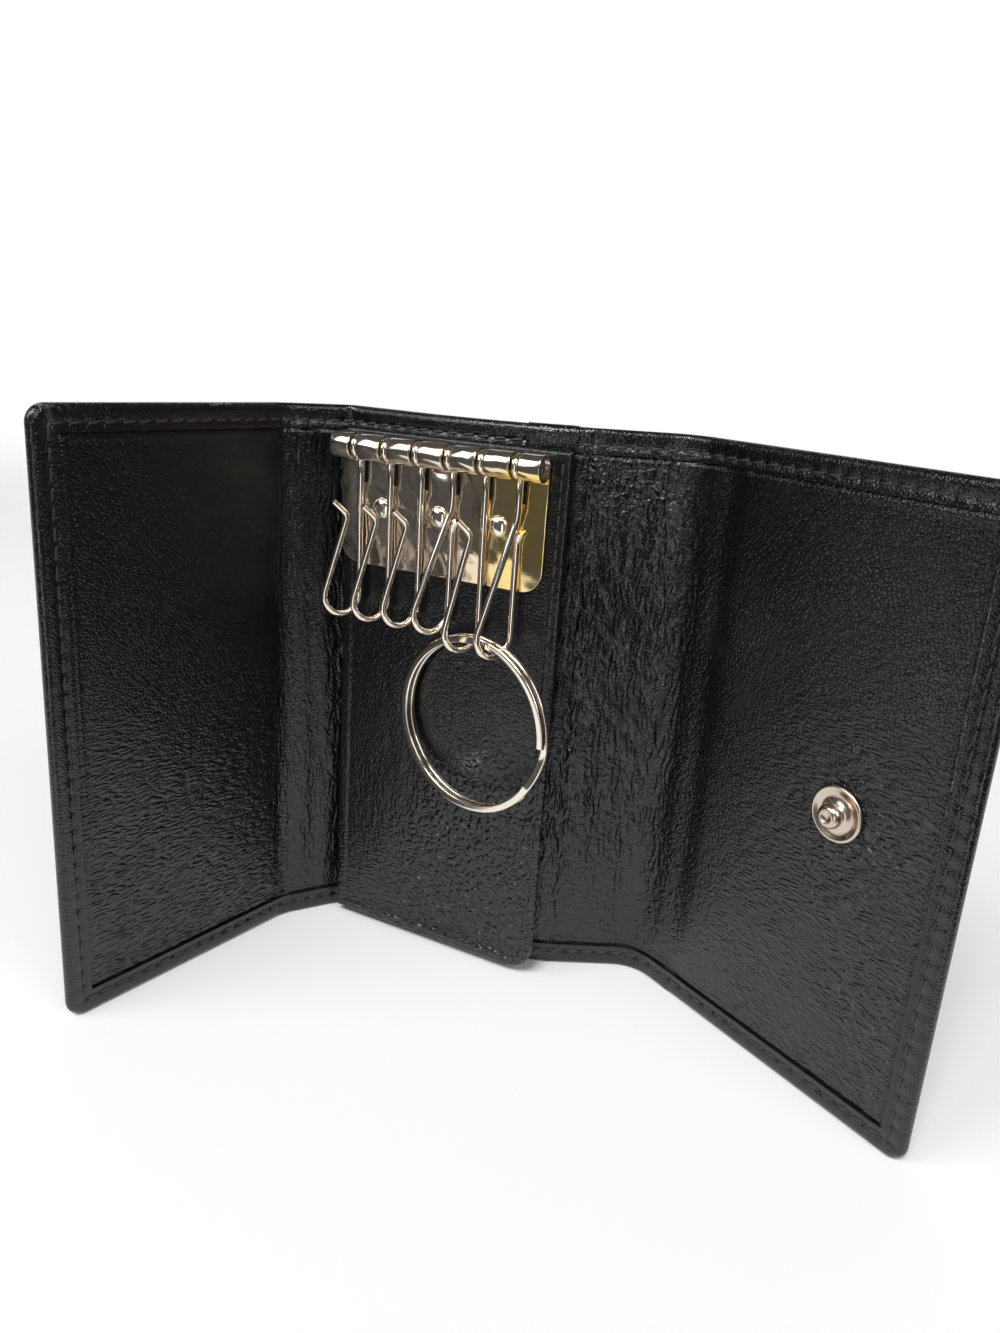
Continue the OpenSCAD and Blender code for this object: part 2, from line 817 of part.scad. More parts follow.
module right_spine_shell() {
    color(leather_colour) {
        right_spine_sweep(fold_gap) shell_profile(lining_back, spine_outer);
        at_right_flap() {
            after_line(-fold_gap) sweep_line(fold_gap) fold_profile();
            fold_roll();
        }
    }
}

module right_spine_lining() {
    color(lining_colour) right_spine_sweep(lining_gap) lining_profile();
}

module right_spine_stitching() {
    row_r = right_spine_bend_r - inner_face;
    count = floor(row_r * right_spine_bend_a * PI / 180 / stitch_pitch);
    step_a = right_spine_bend_a / count;
    sink = row_r - sqrt(pow(row_r, 2) - pow(stitch_l / 2, 2));
    color(thread_colour) at_right_spine() {
        after_line(fold_gap) stitch_rows(right_spine_flat_w - fold_gap, -inner_face);
        after_line(right_spine_flat_w) {
            for (i = [0 : count - 1], z = [stitch_inset, case_h - stitch_inset]) {
                translate([0, -right_spine_bend_r, z])
                    rotate([0, 0, -(i + 1 / 2) * step_a])
                    translate([-stitch_l / 2, row_r - sink, 0]) stitch(0);
            }
            after_right_bend(right_spine_bend_r, right_spine_bend_a)
                stitch_rows(right_spine_end_w - fold_gap, -inner_face);
        }
    }
}

// Right flap

module right_flap_shell() {
    color(leather_colour) at_right_flap() flap_shell(right_flap_w);
}

module right_flap_board() {
    color(board_colour) at_right_flap() difference() {
        flap_board(right_flap_w);
        across(right_flap_w - stud_inset, stud_z, 0, flap_outer, snap_back_r + layer_clear);
    }
}

module right_flap_lining() {
    color(lining_colour) at_right_flap() difference() {
        flap_lining(right_flap_w);
        across(right_flap_w - stud_inset, stud_z, -flap_outer, flap_outer, snap_shank_r + layer_clear);
    }
}

module right_flap_stitching() {
    color(thread_colour) at_right_flap() flap_stitches(right_flap_w);
}

module snap_stud() {
    base = lining_face;
    tip = base + post_h;
    color(nickel_colour) at_right_flap() mirror([0, 1, 0]) spun(right_flap_w - stud_inset, stud_z) {
        translate([0, -board_back]) square([snap_shank_r, board_back + base + flange_t / 2]);
        translate([0, base]) square([snap_r - rim_roll_r, flange_t / 2]);
        translate([snap_r - rim_roll_r, base + rim_roll_r]) circle(rim_roll_r);
        translate([0, base]) square([post_neck_r, post_h - post_neck_r / 2]);
        translate([0, tip - post_r]) difference() {
            intersection() {
                circle(post_r);
                translate([0, -post_r / 4]) square([post_r, post_r]);
            }
            translate([0, post_r]) circle(post_r / 3);
        }
    }
}

module snap_stud_back() {
    color(nickel_colour) at_right_flap() difference() {
        across(right_flap_w - stud_inset, stud_z, lining_back, board_back, snap_back_r);
        across(right_flap_w - stud_inset, stud_z, 0, flap_outer, snap_shank_r + layer_clear);
    }
}

left_flap_shell();
left_flap_board();
left_flap_lining();
left_flap_stitching();
snap_socket();
snap_socket_back();
left_spine_shell();
left_spine_lining();
left_spine_stitching();
centre_shell();
centre_board();
centre_lining();
centre_stitching();
key_panel_front();
key_panel_back();
key_panel_stitching();
panel_top_tab();
hook_rack();
hook_rod();
rack_rivets();
hook_1();
hook_2();
hook_3();
hook_4();
hook_5();
hook_6();
split_ring();
right_spine_shell();
right_spine_lining();
right_spine_stitching();
right_flap_shell();
right_flap_board();
right_flap_lining();
right_flap_stitching();
snap_stud();
snap_stud_back();
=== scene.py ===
"""Looks of an open leather key case with a hook rack, a split ring and a snap fastener.

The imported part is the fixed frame. Sizes here are in millimetres and are turned into metres where
a mesh is placed. The leather is described once, as a sheet with a place along the case, from the
left free edge to the right one, and a height, and each piece covers a stretch of that sheet.
"""

from __future__ import annotations

import logging
import math
from collections.abc import Callable, Iterator, Sequence
from dataclasses import dataclass, field
from enum import Enum

import bmesh
import bpy
from mathutils import Matrix, Vector, noise

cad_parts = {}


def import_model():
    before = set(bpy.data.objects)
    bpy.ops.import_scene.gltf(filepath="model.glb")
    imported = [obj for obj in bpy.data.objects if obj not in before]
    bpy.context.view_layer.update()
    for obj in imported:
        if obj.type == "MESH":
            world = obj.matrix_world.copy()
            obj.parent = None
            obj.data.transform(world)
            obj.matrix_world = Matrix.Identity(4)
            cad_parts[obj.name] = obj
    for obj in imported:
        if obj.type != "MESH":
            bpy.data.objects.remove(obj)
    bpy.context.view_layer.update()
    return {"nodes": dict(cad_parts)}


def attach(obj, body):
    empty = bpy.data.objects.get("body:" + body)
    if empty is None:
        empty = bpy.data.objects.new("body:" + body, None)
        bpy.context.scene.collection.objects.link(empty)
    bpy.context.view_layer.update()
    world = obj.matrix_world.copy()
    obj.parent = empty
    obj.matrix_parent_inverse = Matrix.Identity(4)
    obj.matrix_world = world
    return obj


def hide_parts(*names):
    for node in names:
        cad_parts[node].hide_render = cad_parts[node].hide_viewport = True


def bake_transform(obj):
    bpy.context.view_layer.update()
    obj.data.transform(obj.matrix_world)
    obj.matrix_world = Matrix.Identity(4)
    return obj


LOG = logging.getLogger("key_case")
MM = 0.001
Pair = tuple[float, float]
Triple = tuple[float, float, float]
Mesh = bmesh.types.BMesh
Piece = bpy.types.Object
Material = bpy.types.Material
Socket = bpy.types.NodeSocket
Place = Callable[[float, float, "Face"], Vector]
Marks = dict[str, Callable[[float, float], float]]


class Face(Enum):
    """The two faces of a slab."""

    INNER = 0
    OUTER = 1


class Slot(Enum):
    """Material slots."""

    LEATHER = "leather"
    LINING = "lining"
    THREAD = "thread"
    NICKEL = "nickel"


def smooth(low: float, high: float, value: float) -> float:
    """Rise from 0 at low to 1 at high along a smooth step."""
    share = min(max((value - low) / (high - low), 0.0), 1.0)
    return share * share * (3 - 2 * share)


def window(start: float, end: float, soft: float, value: float) -> float:
    """Give 1 between start and end, falling smoothly to 0 over a soft margin outside them."""
    return smooth(start - soft, start, value) * (1 - smooth(end, end + soft, value))


def bell(centre: float, width: float, value: float) -> float:
    """Give a bell curve of height 1 at its centre."""
    return math.exp(-(((value - centre) / width) ** 2))


def wave(x: float, y: float, seed: float) -> float:
    """Give smooth noise between about -1 and 1."""
    return noise.noise(Vector((x, y, seed)))


def creases(across: float, along: float, width: float, length: float, seed: float) -> float:
    """Give the depth of thin creases, from 0 on flat leather to 1 in the bottom of a crease.

    Args:
        across: Place across the creases, in millimetres.
        along: Place along the creases, in millimetres.
        width: Typical distance between two creases.
        length: Typical length of a crease.
        seed: Number that picks the pattern.

    Returns:
        The depth, as a share of the deepest crease.
    """
    bent = across + 1.2 * width * wave(across / (4 * width), along / length, seed + 7)
    value = abs(wave(bent / width, along / length, seed))
    return max(0.0, 1 - 3.2 * value) ** 1.6


def stations(start: float, end: float, pitch: float, edges: Pair,
             marks: Sequence[float]) -> list[float]:
    """List places from start to end, at most a pitch apart.

    Args:
        start: First place.
        end: Last place.
        pitch: Largest distance between two places.
        edges: The two places that the marks are counted from, inwards.
        marks: Distances from the edges at which there must be a place.

    Returns:
        The places in rising order.
    """
    fixed = [edges[0] + mark for mark in marks] + [edges[1] - mark for mark in marks]
    stops = sorted({start, end, *[place for place in fixed if start < place < end]})
    places = [start]
    for low, high in zip(stops, stops[1:]):
        count = max(1, math.ceil((high - low) / pitch - 1e-6))
        places += [low + (high - low) * step / count for step in range(1, count + 1)]
    return places


def round_marks(radius: float) -> list[float]:
    """List the distances from an edge at which a quarter circle needs its points."""
    return [radius * (1 - math.cos(math.radians(angle))) for angle in range(0, 91, 15)]


def round_share(distance: float, radius: float) -> float:
    """Give how thick a rounded edge is at a distance from it, as a share of the whole."""
    return math.sqrt(max(1 - max(1 - distance / radius, 0.0) ** 2, 0.0))


def on_corner(side: float, end: float, radius: float) -> Pair:
    """Move a point in a corner, given as its distances from both edges, onto the corner's arc."""
    across, up = radius - side, radius - end
    share = max(across, up) / math.hypot(across, up)
    return radius - across * share, radius - up * share


def linked(name: str, data: bpy.types.ID) -> Piece:
    """Make an object of some data and link it to the scene."""
    item = bpy.data.objects.new(name, data)
    bpy.context.scene.collection.objects.link(item)
    return item


def moved(bm: Mesh, matrix: Matrix) -> None:
    """Move a whole mesh by a matrix."""
    bmesh.ops.transform(bm, matrix=matrix, verts=bm.verts[:])


def finished(bm: Mesh, name: str, material: Material, sharp: float = 40) -> Piece:
    """Turn a mesh in millimetres into an object in metres with smooth shading.

    Args:
        bm: The mesh, which is freed.
        name: Name of the new object.
        material: Finish of the whole piece.
        sharp: Angle in degrees above which an edge stays sharp.

    Returns:
        The linked object, which sits at the origin.
    """
    bmesh.ops.recalc_face_normals(bm, faces=bm.faces[:])
    moved(bm, Matrix.Scale(MM, 4))
    mesh = bpy.data.meshes.new(name)
    bm.to_mesh(mesh)
    bm.free()
    mesh.materials.append(material)
    mesh.polygons.foreach_set("use_smooth", [True] * len(mesh.polygons))
    mesh.set_sharp_from_angle(angle=math.radians(sharp))
    return linked(name, mesh)


def thickened(bm: Mesh, shift: Triple) -> None:
    """Extrude all the faces of a flat mesh, so that it becomes a closed block."""
    raised = bmesh.ops.extrude_face_region(bm, geom=bm.faces[:])
    copies = [item for item in raised["geom"] if isinstance(item, bmesh.types.BMVert)]
    bmesh.ops.translate(bm, verts=copies, vec=shift)


def slab(columns: list[float], rows: list[float], place: Place, marks: Marks | None = None) -> Mesh:
    """Make a closed slab from a grid that is doubled and joined round its border.

    Args:
        columns: Places of the grid's columns.
        rows: Places of the grid's rows.
        place: Gives the point of a column and a row on one face.
        marks: Named values of a column and a row, which the finishes read.

    Returns:
        The slab as a mesh in millimetres.
    """
    bm = bmesh.new()
    width, height = len(columns) - 1, len(rows) - 1
    bmesh.ops.create_grid(bm, x_segments=width, y_segments=height, size=0.5)
    thickened(bm, (0, 0, 1))
    layers = {name: bm.verts.layers.float.new(name) for name in marks or {}}
    for vert in bm.verts:
        column = columns[round((vert.co.x + 0.5) * width)]
        row = rows[round((vert.co.y + 0.5) * height)]
        for name, layer in layers.items():
            vert[layer] = marks[name](column, row)
        vert.co = place(column, row, Face.OUTER if vert.co.z > 0.5 else Face.INNER)
    bmesh.ops.remove_doubles(bm, verts=bm.verts[:], dist=0.0005)
    return bm


def turned(profile: list[Pair], steps: int) -> Mesh:
    """Spin a profile of radius and height about the Z axis.

    Args:
        profile: Points from the axis round to the axis again, as radius and height.
        steps: Number of steps of the full turn.

    Returns:
        The closed mesh.
    """
    bm = bmesh.new()
    verts = [bm.verts.new((radius, 0, height)) for radius, height in profile]
    edges = [bm.edges.new(pair) for pair in zip(verts, verts[1:])]
    if profile[0][0] > 0:
        edges.append(bm.edges.new((verts[-1], verts[0])))
    bmesh.ops.spin(bm, geom=verts + edges, cent=(0, 0, 0), axis=(0, 0, 1), angle=math.tau,
                   steps=steps, use_merge=True)
    bmesh.ops.remove_doubles(bm, verts=bm.verts[:], dist=0.001)
    return bm


def absorb(whole: Mesh, part: Mesh) -> None:
    """Add one mesh to another and free it."""
    mesh = bpy.data.meshes.new("part")
    part.to_mesh(mesh)
    part.free()
    whole.from_mesh(mesh)
    bpy.data.meshes.remove(mesh)


def lay_thread(bm: Mesh, spot: Vector, along: Vector, side: Vector, size: Triple) -> None:
    """Add the short thread of one stitch.

    Args:
        bm: The mesh that takes it.
        spot: Its middle.
        along: Direction of its length.
        side: Direction of its width.
        size: Half its length, half its width and half its height.
    """
    turn = Matrix((along, side, along.cross(side))).transposed().to_4x4()
    lying = Matrix.Translation(spot) @ turn @ Matrix.Diagonal((*size, 1))
    lying = lying @ Matrix.Rotation(math.pi / 2, 4, "Y")
    bmesh.ops.create_uvsphere(bm, u_segments=8, v_segments=7, radius=1, matrix=lying)


def arc(centre: Pair, radius: float, start: float, end: float, steps: int) -> list[Pair]:
    """List points on an arc, with angles in degrees from the first axis towards the second."""
    angles = [math.radians(start + (end - start) * step / steps) for step in range(steps + 1)]
    return [(centre[0] + radius * math.cos(a), centre[1] + radius * math.sin(a)) for a in angles]


def on_bend(first: Vector, corner: Vector, last: Vector, share: float) -> Vector:
    """Give the point at a share of a corner that is rounded from a first to a last point."""
    rest = 1 - share
    return first * rest**2 + corner * 2 * share * rest + last * share * share


def eased_corner(before: Vector, corner: Vector, after: Vector, reach: float) -> list[Vector]:
    """Round the corner of a bent wire over a reach on either side of it."""
    first = corner + (before - corner).normalized() * reach
    last = corner + (after - corner).normalized() * reach
    return [on_bend(first, corner, last, step / 6) for step in range(7)]


@dataclass(frozen=True)
class Stretch:
    """A straight or curved stretch of the case, seen from above."""

    length: float
    turn: float = 0.0
    kink: float = 0.0


@dataclass(frozen=True)
class CasePlan:
    """Middle line of the leather, seen from above, from the left free edge to the right one."""

    height: float = 105.0
    start_heading: float = 81.0
    left_flap: float = 48.5
    left_spine: float = 13.5
    centre_flat: float = 16.0
    centre_curve: float = 60.0 * math.radians(31)
    right_flat: float = 13.0
    right_curve: float = 9.0 * math.radians(57)
    right_end: float = 5.0
    right_flap: float = 52.5
    fold_reach: float = 2.2

    @property
    def folds(self) -> list[float]:
        """Places of the four folds along the sheet."""
        first = self.left_flap
        second = first + self.left_spine
        third = second + self.centre_flat + self.centre_curve
        return [first, second, third, third + self.right_flat + self.right_curve + self.right_end]

    @property
    def length(self) -> float:
        """Length of the whole sheet."""
        return self.folds[-1] + self.right_flap

    def _stretches(self) -> list[Stretch]:
        """List the stretches in order, each with the kink at its start."""
        return [
            Stretch(self.left_flap),
            Stretch(self.left_spine, kink=-24.5),
            Stretch(self.centre_flat, kink=-61.5),
            Stretch(self.centre_curve, turn=31),
            Stretch(self.right_flat, kink=4),
            Stretch(self.right_curve, turn=-57),
            Stretch(self.right_end),
            Stretch(self.right_flap),
        ]

    def _walk(self, place: float) -> tuple[Vector, float]:
        """Give the point and heading at a place, counted from the left free edge."""
        point, heading, left = Vector((0.0, 0.0)), math.radians(self.start_heading), place
        stretches = self._stretches()
        for stretch in stretches:
            heading += math.radians(stretch.kink)
            last = stretch is stretches[-1]
            step = left if last else min(left, stretch.length)
            if stretch.turn:
                rate = math.radians(stretch.turn) / stretch.length
                end = heading + rate * step
                across, ahead = math.cos(heading) - math.cos(end), math.sin(end) - math.sin(heading)
                point += Vector((ahead, across)) / rate
                heading = end
            else:
                point += Vector((math.cos(heading), math.sin(heading))) * step
            left -= step
            if left <= 0 and not last:
                break
        return point, heading

    def at(self, place: float) -> tuple[Vector, Vector]:
        """Give the point and the outward unit normal at a place, with each fold rounded."""
        origin = self._walk(self.folds[1])[0]
        for fold in self.folds:
            share = (place - fold + self.fold_reach) / (2 * self.fold_reach)
            if 0 < share < 1:
                reach = self.fold_reach
                before, corner, after = (self._walk(fold + step)[0] for step in (-reach, 0, reach))
                along = (corner - before) * (1 - share) + (after - corner) * share
                along.normalize()
                point = on_bend(before, corner, after, share)
                return point - origin, Vector((-along.y, along.x))
        point, heading = self._walk(place)
        return point - origin, Vector((-math.sin(heading), math.cos(heading)))


@dataclass
class LeatherSheet:
    """Shape of the case's leather, as depth over the middle line of the plan."""

    plan: CasePlan = field(default_factory=CasePlan)
    corner: float = 3.0
    hem: float = 4.4
    lip: float = -1.0
    lining: float = -0.72
    panel_back: float = 1.4
    spine_back: float = 1.0
    stitch_inset: float = 2.9
    stitch_pitch: float = 3.0
    socket_place: float = 22.338
    stud_inset: float = 21.8
    snap_height: float = 51.0
    well: Pair = (2.9, 3.5)
    well_floor: float = 0.6
    core: float = 0.35

    def __post_init__(self) -> None:
        """Keep the plan's points, which every row of a column shares."""
        self._points: dict[float, tuple[Vector, Vector]] = {}

    def point(self, place: float, height: float, depth: float) -> Vector:
        """Give the point of the sheet at a place, a height and a depth, in millimetres."""
        if place not in self._points:
            self._points[place] = self.plan.at(place)
        base, normal = self._points[place]
        spot = base + normal * depth
        return Vector((spot.x, spot.y, height))

    def edge_distance(self, place: float, height: float) -> float:
        """Give the distance to the nearest hemmed edge."""
        return min(height, self.plan.height - height, place, self.plan.length - place)

    def pull(self, place: float, height: float) -> float:
        """Give how the seam pulls the hem: 1 at a needle hole and 0 at the middle of a stitch."""
        beside = min(place, self.plan.length - place) < min(height, self.plan.height - height)
        phase = math.tau * (height if beside else place) / self.stitch_pitch
        return (0.5 + 0.5 * math.cos(phase)) ** 2

    def plain_hem(self, place: float, height: float) -> float:
        """Give 1 on the panels and less on the hem, whose leather is stretched smooth."""
        return 0.2 + 0.8 * smooth(self.hem - 0.4, self.hem + 1.6, self.edge_distance(place, height))

    def gathered(self, place: float, height: float) -> float:
        """Give how deep the seam gathers the hem, deepest low on the right edge."""
        right = smooth(self.plan.length - 9, self.plan.length - 4, place)
        return 0.03 + 0.13 * right * (1 - smooth(56, 72, height))

    def rounded(self, place: float, height: float) -> Pair:
        """Move a grid point near a free corner onto the arc of that corner."""
        left, low = place < self.plan.length / 2, height < self.plan.height / 2
        side = place if left else self.plan.length - place
        end = height if low else self.plan.height - height
        if side >= self.corner or end >= self.corner:
            return place, height
        side, end = on_corner(side, end, self.corner)
        return side if left else self.plan.length - side, end if low else self.plan.height - end

    def back(self, place: float) -> float:
        """Give the depth of the outer face, thinner on the narrow strips and at the folds."""
        first, second, third, fourth = self.plan.folds
        strips = window(first, second, 1.5, place) + window(third, fourth, 1.5, place)
        depth = self.panel_back + (self.spine_back - self.panel_back) * min(strips, 1.0)
        return depth - 0.22 * sum(bell(fold, 1.1, place) for fold in self.plan.folds)

    def outer_relief(self, place: float, height: float) -> float:
        """Give the small hills and creases of the outer face."""
        relief = 0.10 * wave(place / 17, height / 23, 3.1)
        relief += 0.035 * wave(place / 2.6, height / 3.4, 5.2)
        near = max(bell(fold, 4.5, place) for fold in self.plan.folds)
        relief -= 0.14 * near * creases(place, height, 1.5, 9, 11.4)
        relief -= 0.035 * creases(height, place, 2.1, 9, 21.4)
        return relief

    def inner_relief(self, place: float, height: float) -> float:
        """Give the wrinkles of the inner face, positive towards the viewer."""
        first, second, third, fourth = self.plan.folds
        relief = 0.10 * wave(place / 21, height / 17, 1.5)
        left = window(0, first, 2, place)
        relief -= 0.05 * left * (1 - smooth(38, 66, height)) * creases(height, place, 1.7, 7, 31.2)
        relief += 0.05 * left * wave(place / 6, height / 2.3, 33.0) * (1 - smooth(30, 60, height))
        strip = window(first - 0.5, second + 0.5, 2, place)
        relief -= 0.10 * strip * creases(place, height, 2.1, 16, 41.7)
        relief += 0.42 * strip * wave(place / 3.4, height / 34, 44.0)
        heavy = window(third - 1, fourth - 9, 6, place)
        deep = heavy * (0.45 + 0.55 * window(34, 82, 12, height))
        relief -= 0.22 * deep * creases(place, height, 2.3, 7, 51.7)
        relief -= 0.10 * deep * creases(place + 0.5 * height, height, 1.4, 3.2, 57.2)
        relief += 0.26 * heavy * wave(place / 3.6, height / 16, 55.0)
        relief += 0.14 * heavy * smooth(84, 98, height) * wave(place / 2.2, height / 2.4, 58.0)
        flap, end = smooth(fourth - 4, fourth + 6, place), self.plan.length
        stud = bell(end - self.stud_inset, 15, place) * bell(48, 17, height)
        low = smooth(fourth + 14, end - 10, place) * (1 - smooth(14, 44, height))
        lean = 0.6 * height + 0.8 * place
        cross = 0.8 * height - 0.6 * place
        beside = smooth(end - 24, end - 9, place) * window(16, 60, 12, height)
        depth = flap * (0.02 + 0.12 * stud + 0.06 * low + 0.10 * beside)
        relief -= depth * creases(cross, lean, 1.9, 8, 61.3)
        relief += flap * 0.08 * stud * wave(place / 4, height / 3.1, 63.0)
        relief -= 0.16 * bell(first, 2.8, place)
        for fold in (second, third):
            relief -= 0.30 * bell(fold, 0.9, place) + 0.12 * bell(fold, 2.4, place)
        relief -= 0.34 * bell(fourth, 2.6, place)
        return relief

    def upright(self, place: float, height: float) -> float:
        """Give how strongly the leather is creased from top to bottom."""
        first, second, third, fourth = self.plan.folds
        strip = 0.34 * window(first + 3, second, 4, place)
        heavy = window(third + 1, fourth - 8, 5, place) * (0.22 + 0.6 * window(30, 76, 14, height))
        patchy = 0.75 + 0.5 * wave(place / 5, height / 14, 95.0)
        folded = 0.3 * sum(bell(fold, 2.5, place) for fold in (first, second, third))
        return min(1.0, (strip + heavy) * patchy + folded) * self.plain_hem(place, height)

    def level(self, place: float, height: float) -> float:
        """Give how strongly the leather is creased from side to side."""
        first, _, _, fourth = self.plan.folds
        end = self.plan.length
        patchy = 0.8 + 0.6 * wave(place / 9, height / 9, 96.0)
        left = window(0, first, 2, place) * (0.06 + 0.66 * (1 - smooth(24, 64, height)))
        flap = smooth(fourth + 3, fourth + 14, place)
        stud = bell(end - 19, 13, place) * bell(50, 16, height)
        right = smooth(end - 24, end - 8, place) * (1 - smooth(20, 60, height))
        low = 0.30 * (1 - smooth(18, 56, height))
        strength = patchy * (left + flap * (0.03 + 0.8 * stud + low + 0.25 * right))
        return strength * self.plain_hem(place, height)

    def pebble(self, place: float, height: float) -> float:
        """Give how strongly the leather shows its swollen cells."""
        third, fourth = self.plan.folds[2:]
        top = window(third, fourth - 12, 4, place) * smooth(82, 96, height)
        low = 0.12 * (1 - smooth(20, 60, height))
        strip = 0.10 * window(third, fourth, 3, place)
        return (0.04 + 0.5 * top + low + strip) * self.plain_hem(place, height)

    def wear(self, place: float, height: float) -> float:
        """Give how much the upper edge is rubbed, most near the free left corner."""
        edge = smooth(self.plan.height - 0.9, self.plan.height - 0.1, height)
        corner = bell(2.0, 4.0, place)
        patch = bell(35.0, 3.0, place) + 0.6 * bell(26.0, 1.5, place)
        return edge * (0.06 + 0.6 * corner + 0.8 * patch) + 0.3 * corner * smooth(100, 105, height)

    def marks(self) -> Marks:
        """List the values that the leather's finish reads."""
        return {"upright": self.upright, "level": self.level, "pebble": self.pebble,
                "wear": self.wear}

    def cover_depth(self, place: float, height: float, face: Face) -> float:
        """Give the depth of the outer leather, with its turned edge and the well of the socket."""
        distance = self.edge_distance(place, height)
        back = self.back(place)
        middle, half = (back + self.lip) / 2, (back - self.lip) / 2
        bulge = half * round_share(distance, half)
        settled = smooth(0, 2 * half, distance)
        pull = self.pull(place, height)
        groove = (0.17 + 0.22 * pull) * bell(self.stitch_inset, 0.42, distance)
        groove += self.gathered(place, height) * pull * window(1.0, 2.2, 0.7, distance)
        if face is Face.OUTER:
            surface = middle + bulge + settled * self.outer_relief(place, height) - groove
            beside = math.hypot(place - self.socket_place, height - self.snap_height)
            well = 1 - smooth(*self.well, beside)
            return surface + (self.well_floor - surface) * well
        calm = 0.3 * settled * self.inner_relief(place, height)
        rough = 0.05 * wave(place / 2.3, height / 2.3, 71.0) * settled
        lip = middle - bulge + groove - calm - rough
        return lip + (middle + self.core - lip) * smooth(self.hem - 0.1, self.hem + 0.25, distance)

    def lining_depth(self, place: float, height: float, face: Face) -> float:
        """Give the depth of the lining, whose rim lies under the turned edge."""
        distance = self.edge_distance(place, height)
        if face is Face.OUTER:
            return 0.1
        rise = smooth(self.hem, self.hem + 0.6, distance)
        front = -0.45 + (self.lining + 0.45) * rise - 0.10 * bell(self.hem + 0.95, 0.3, distance)
        return front - rise * self.inner_relief(place, height)


class Nodes:
    """The node tree of a new material, with the nodes that the finishes are built from."""

    def __init__(self, name: str) -> None:
        """Make the material with its main shader."""
        self.material = bpy.data.materials.new(name)
        self.material.use_nodes = True
        self.tree = self.material.node_tree
        self.shader = self.tree.nodes["Principled BSDF"]

    def add(self, kind: str) -> bpy.types.Node:
        """Add a shader node."""
        return self.tree.nodes.new("ShaderNode" + kind)

    def feed(self, node: bpy.types.Node, output: str, inputs: dict[str | int, object]) -> Socket:
        """Link each input that is given a socket, set the others, and give one of the outputs."""
        for name, value in inputs.items():
            if isinstance(value, Socket):
                self.tree.links.new(value, node.inputs[name])
            else:
                node.inputs[name].default_value = value
        return node.outputs[output]

    def finish(self, inputs: dict[str | int, object]) -> Material:
        """Feed the main shader and give the material."""
        self.feed(self.shader, "BSDF", inputs)
        return self.material

    def scaled(self, vector: Socket, scale: Triple) -> Socket:
        """Scale coordinates."""
        return self.feed(self.add("Mapping"), "Vector", {"Scale": scale, "Vector": vector})

    def coordinates(self, scale: Triple = (1.0, 1.0, 1.0)) -> Socket:
        """Give scaled object coordinates."""
        return self.scaled(self.add("TexCoord").outputs["Object"], scale)

    def noise(self, vector: Socket, scale: float, detail: float, output: str = "Fac") -> Socket:
        """Give the factor or the colour of a noise texture."""
        inputs = {"Scale": scale, "Detail": detail, "Vector": vector}
        return self.feed(self.add("TexNoise"), output, inputs)

    def wandering(self, vector: Socket, scale: float, reach: float) -> Socket:
        """Give coordinates that wander, so that no crease runs straight."""
        shift = self.add("VectorMath")
        shift.operation = "MULTIPLY_ADD"
        wander = self.noise(vector, scale, 3.0, "Color")
        return self.feed(shift, "Vector", {0: wander, 1: (reach, reach, reach), 2: vector})

    def spread(self, value: Socket, source: Pair, target: Pair = (0.0, 1.0),
               curve: str = "LINEAR") -> Socket:
        """Map a value from one range to another."""
        node = self.add("MapRange")
        node.interpolation_type = curve
        inputs = {"Value": value, "From Min": source[0], "From Max": source[1]}
        inputs |= {"To Min": target[0], "To Max": target[1]}
        return self.feed(node, "Result", inputs)

    def cells(self, vector: Socket, scale: Triple, edge: float) -> Socket:
        """Give swollen cells with narrow valleys between them."""
        node = self.add("TexVoronoi")
        node.feature = "DISTANCE_TO_EDGE"
        distance = self.feed(node, "Distance", {"Scale": 1.0, "Vector": self.scaled(vector, scale)})
        return self.spread(distance, (0.0, edge), curve="SMOOTHSTEP")

    def blended(self, factor: Socket, first: Socket | Triple, second: Socket | Triple) -> Socket:
        """Mix two colours by a factor."""
        node = self.add("Mix")
        node.data_type = "RGBA"
        ends = [end if isinstance(end, Socket) else (*end, 1.0) for end in (first, second)]
        return self.feed(node, "Result", {"Factor": factor, "A": ends[0], "B": ends[1]})

    def bumped(self, height: Socket, strength: float, distance: float,
               under: Socket | None = None) -> Socket:
        """Give the normal of a bump, on top of another normal if there is one."""
        inputs = {"Strength": strength, "Distance": distance, "Height": height}
        if under is not None:
            inputs["Normal"] = under
        return self.feed(self.add("Bump"), "Normal", inputs)

    def attribute(self, name: str) -> Socket:
        """Give the value that a mesh carries under a name."""
        node = self.add("Attribute")
        node.attribute_name = name
        return node.outputs["Fac"]

    def combined(self, operation: str, first: Socket, second: Socket) -> Socket:
        """Join two values with a Math node."""
        node = self.add("Math")
        node.operation = operation
        return self.feed(node, "Value", {0: first, 1: second})


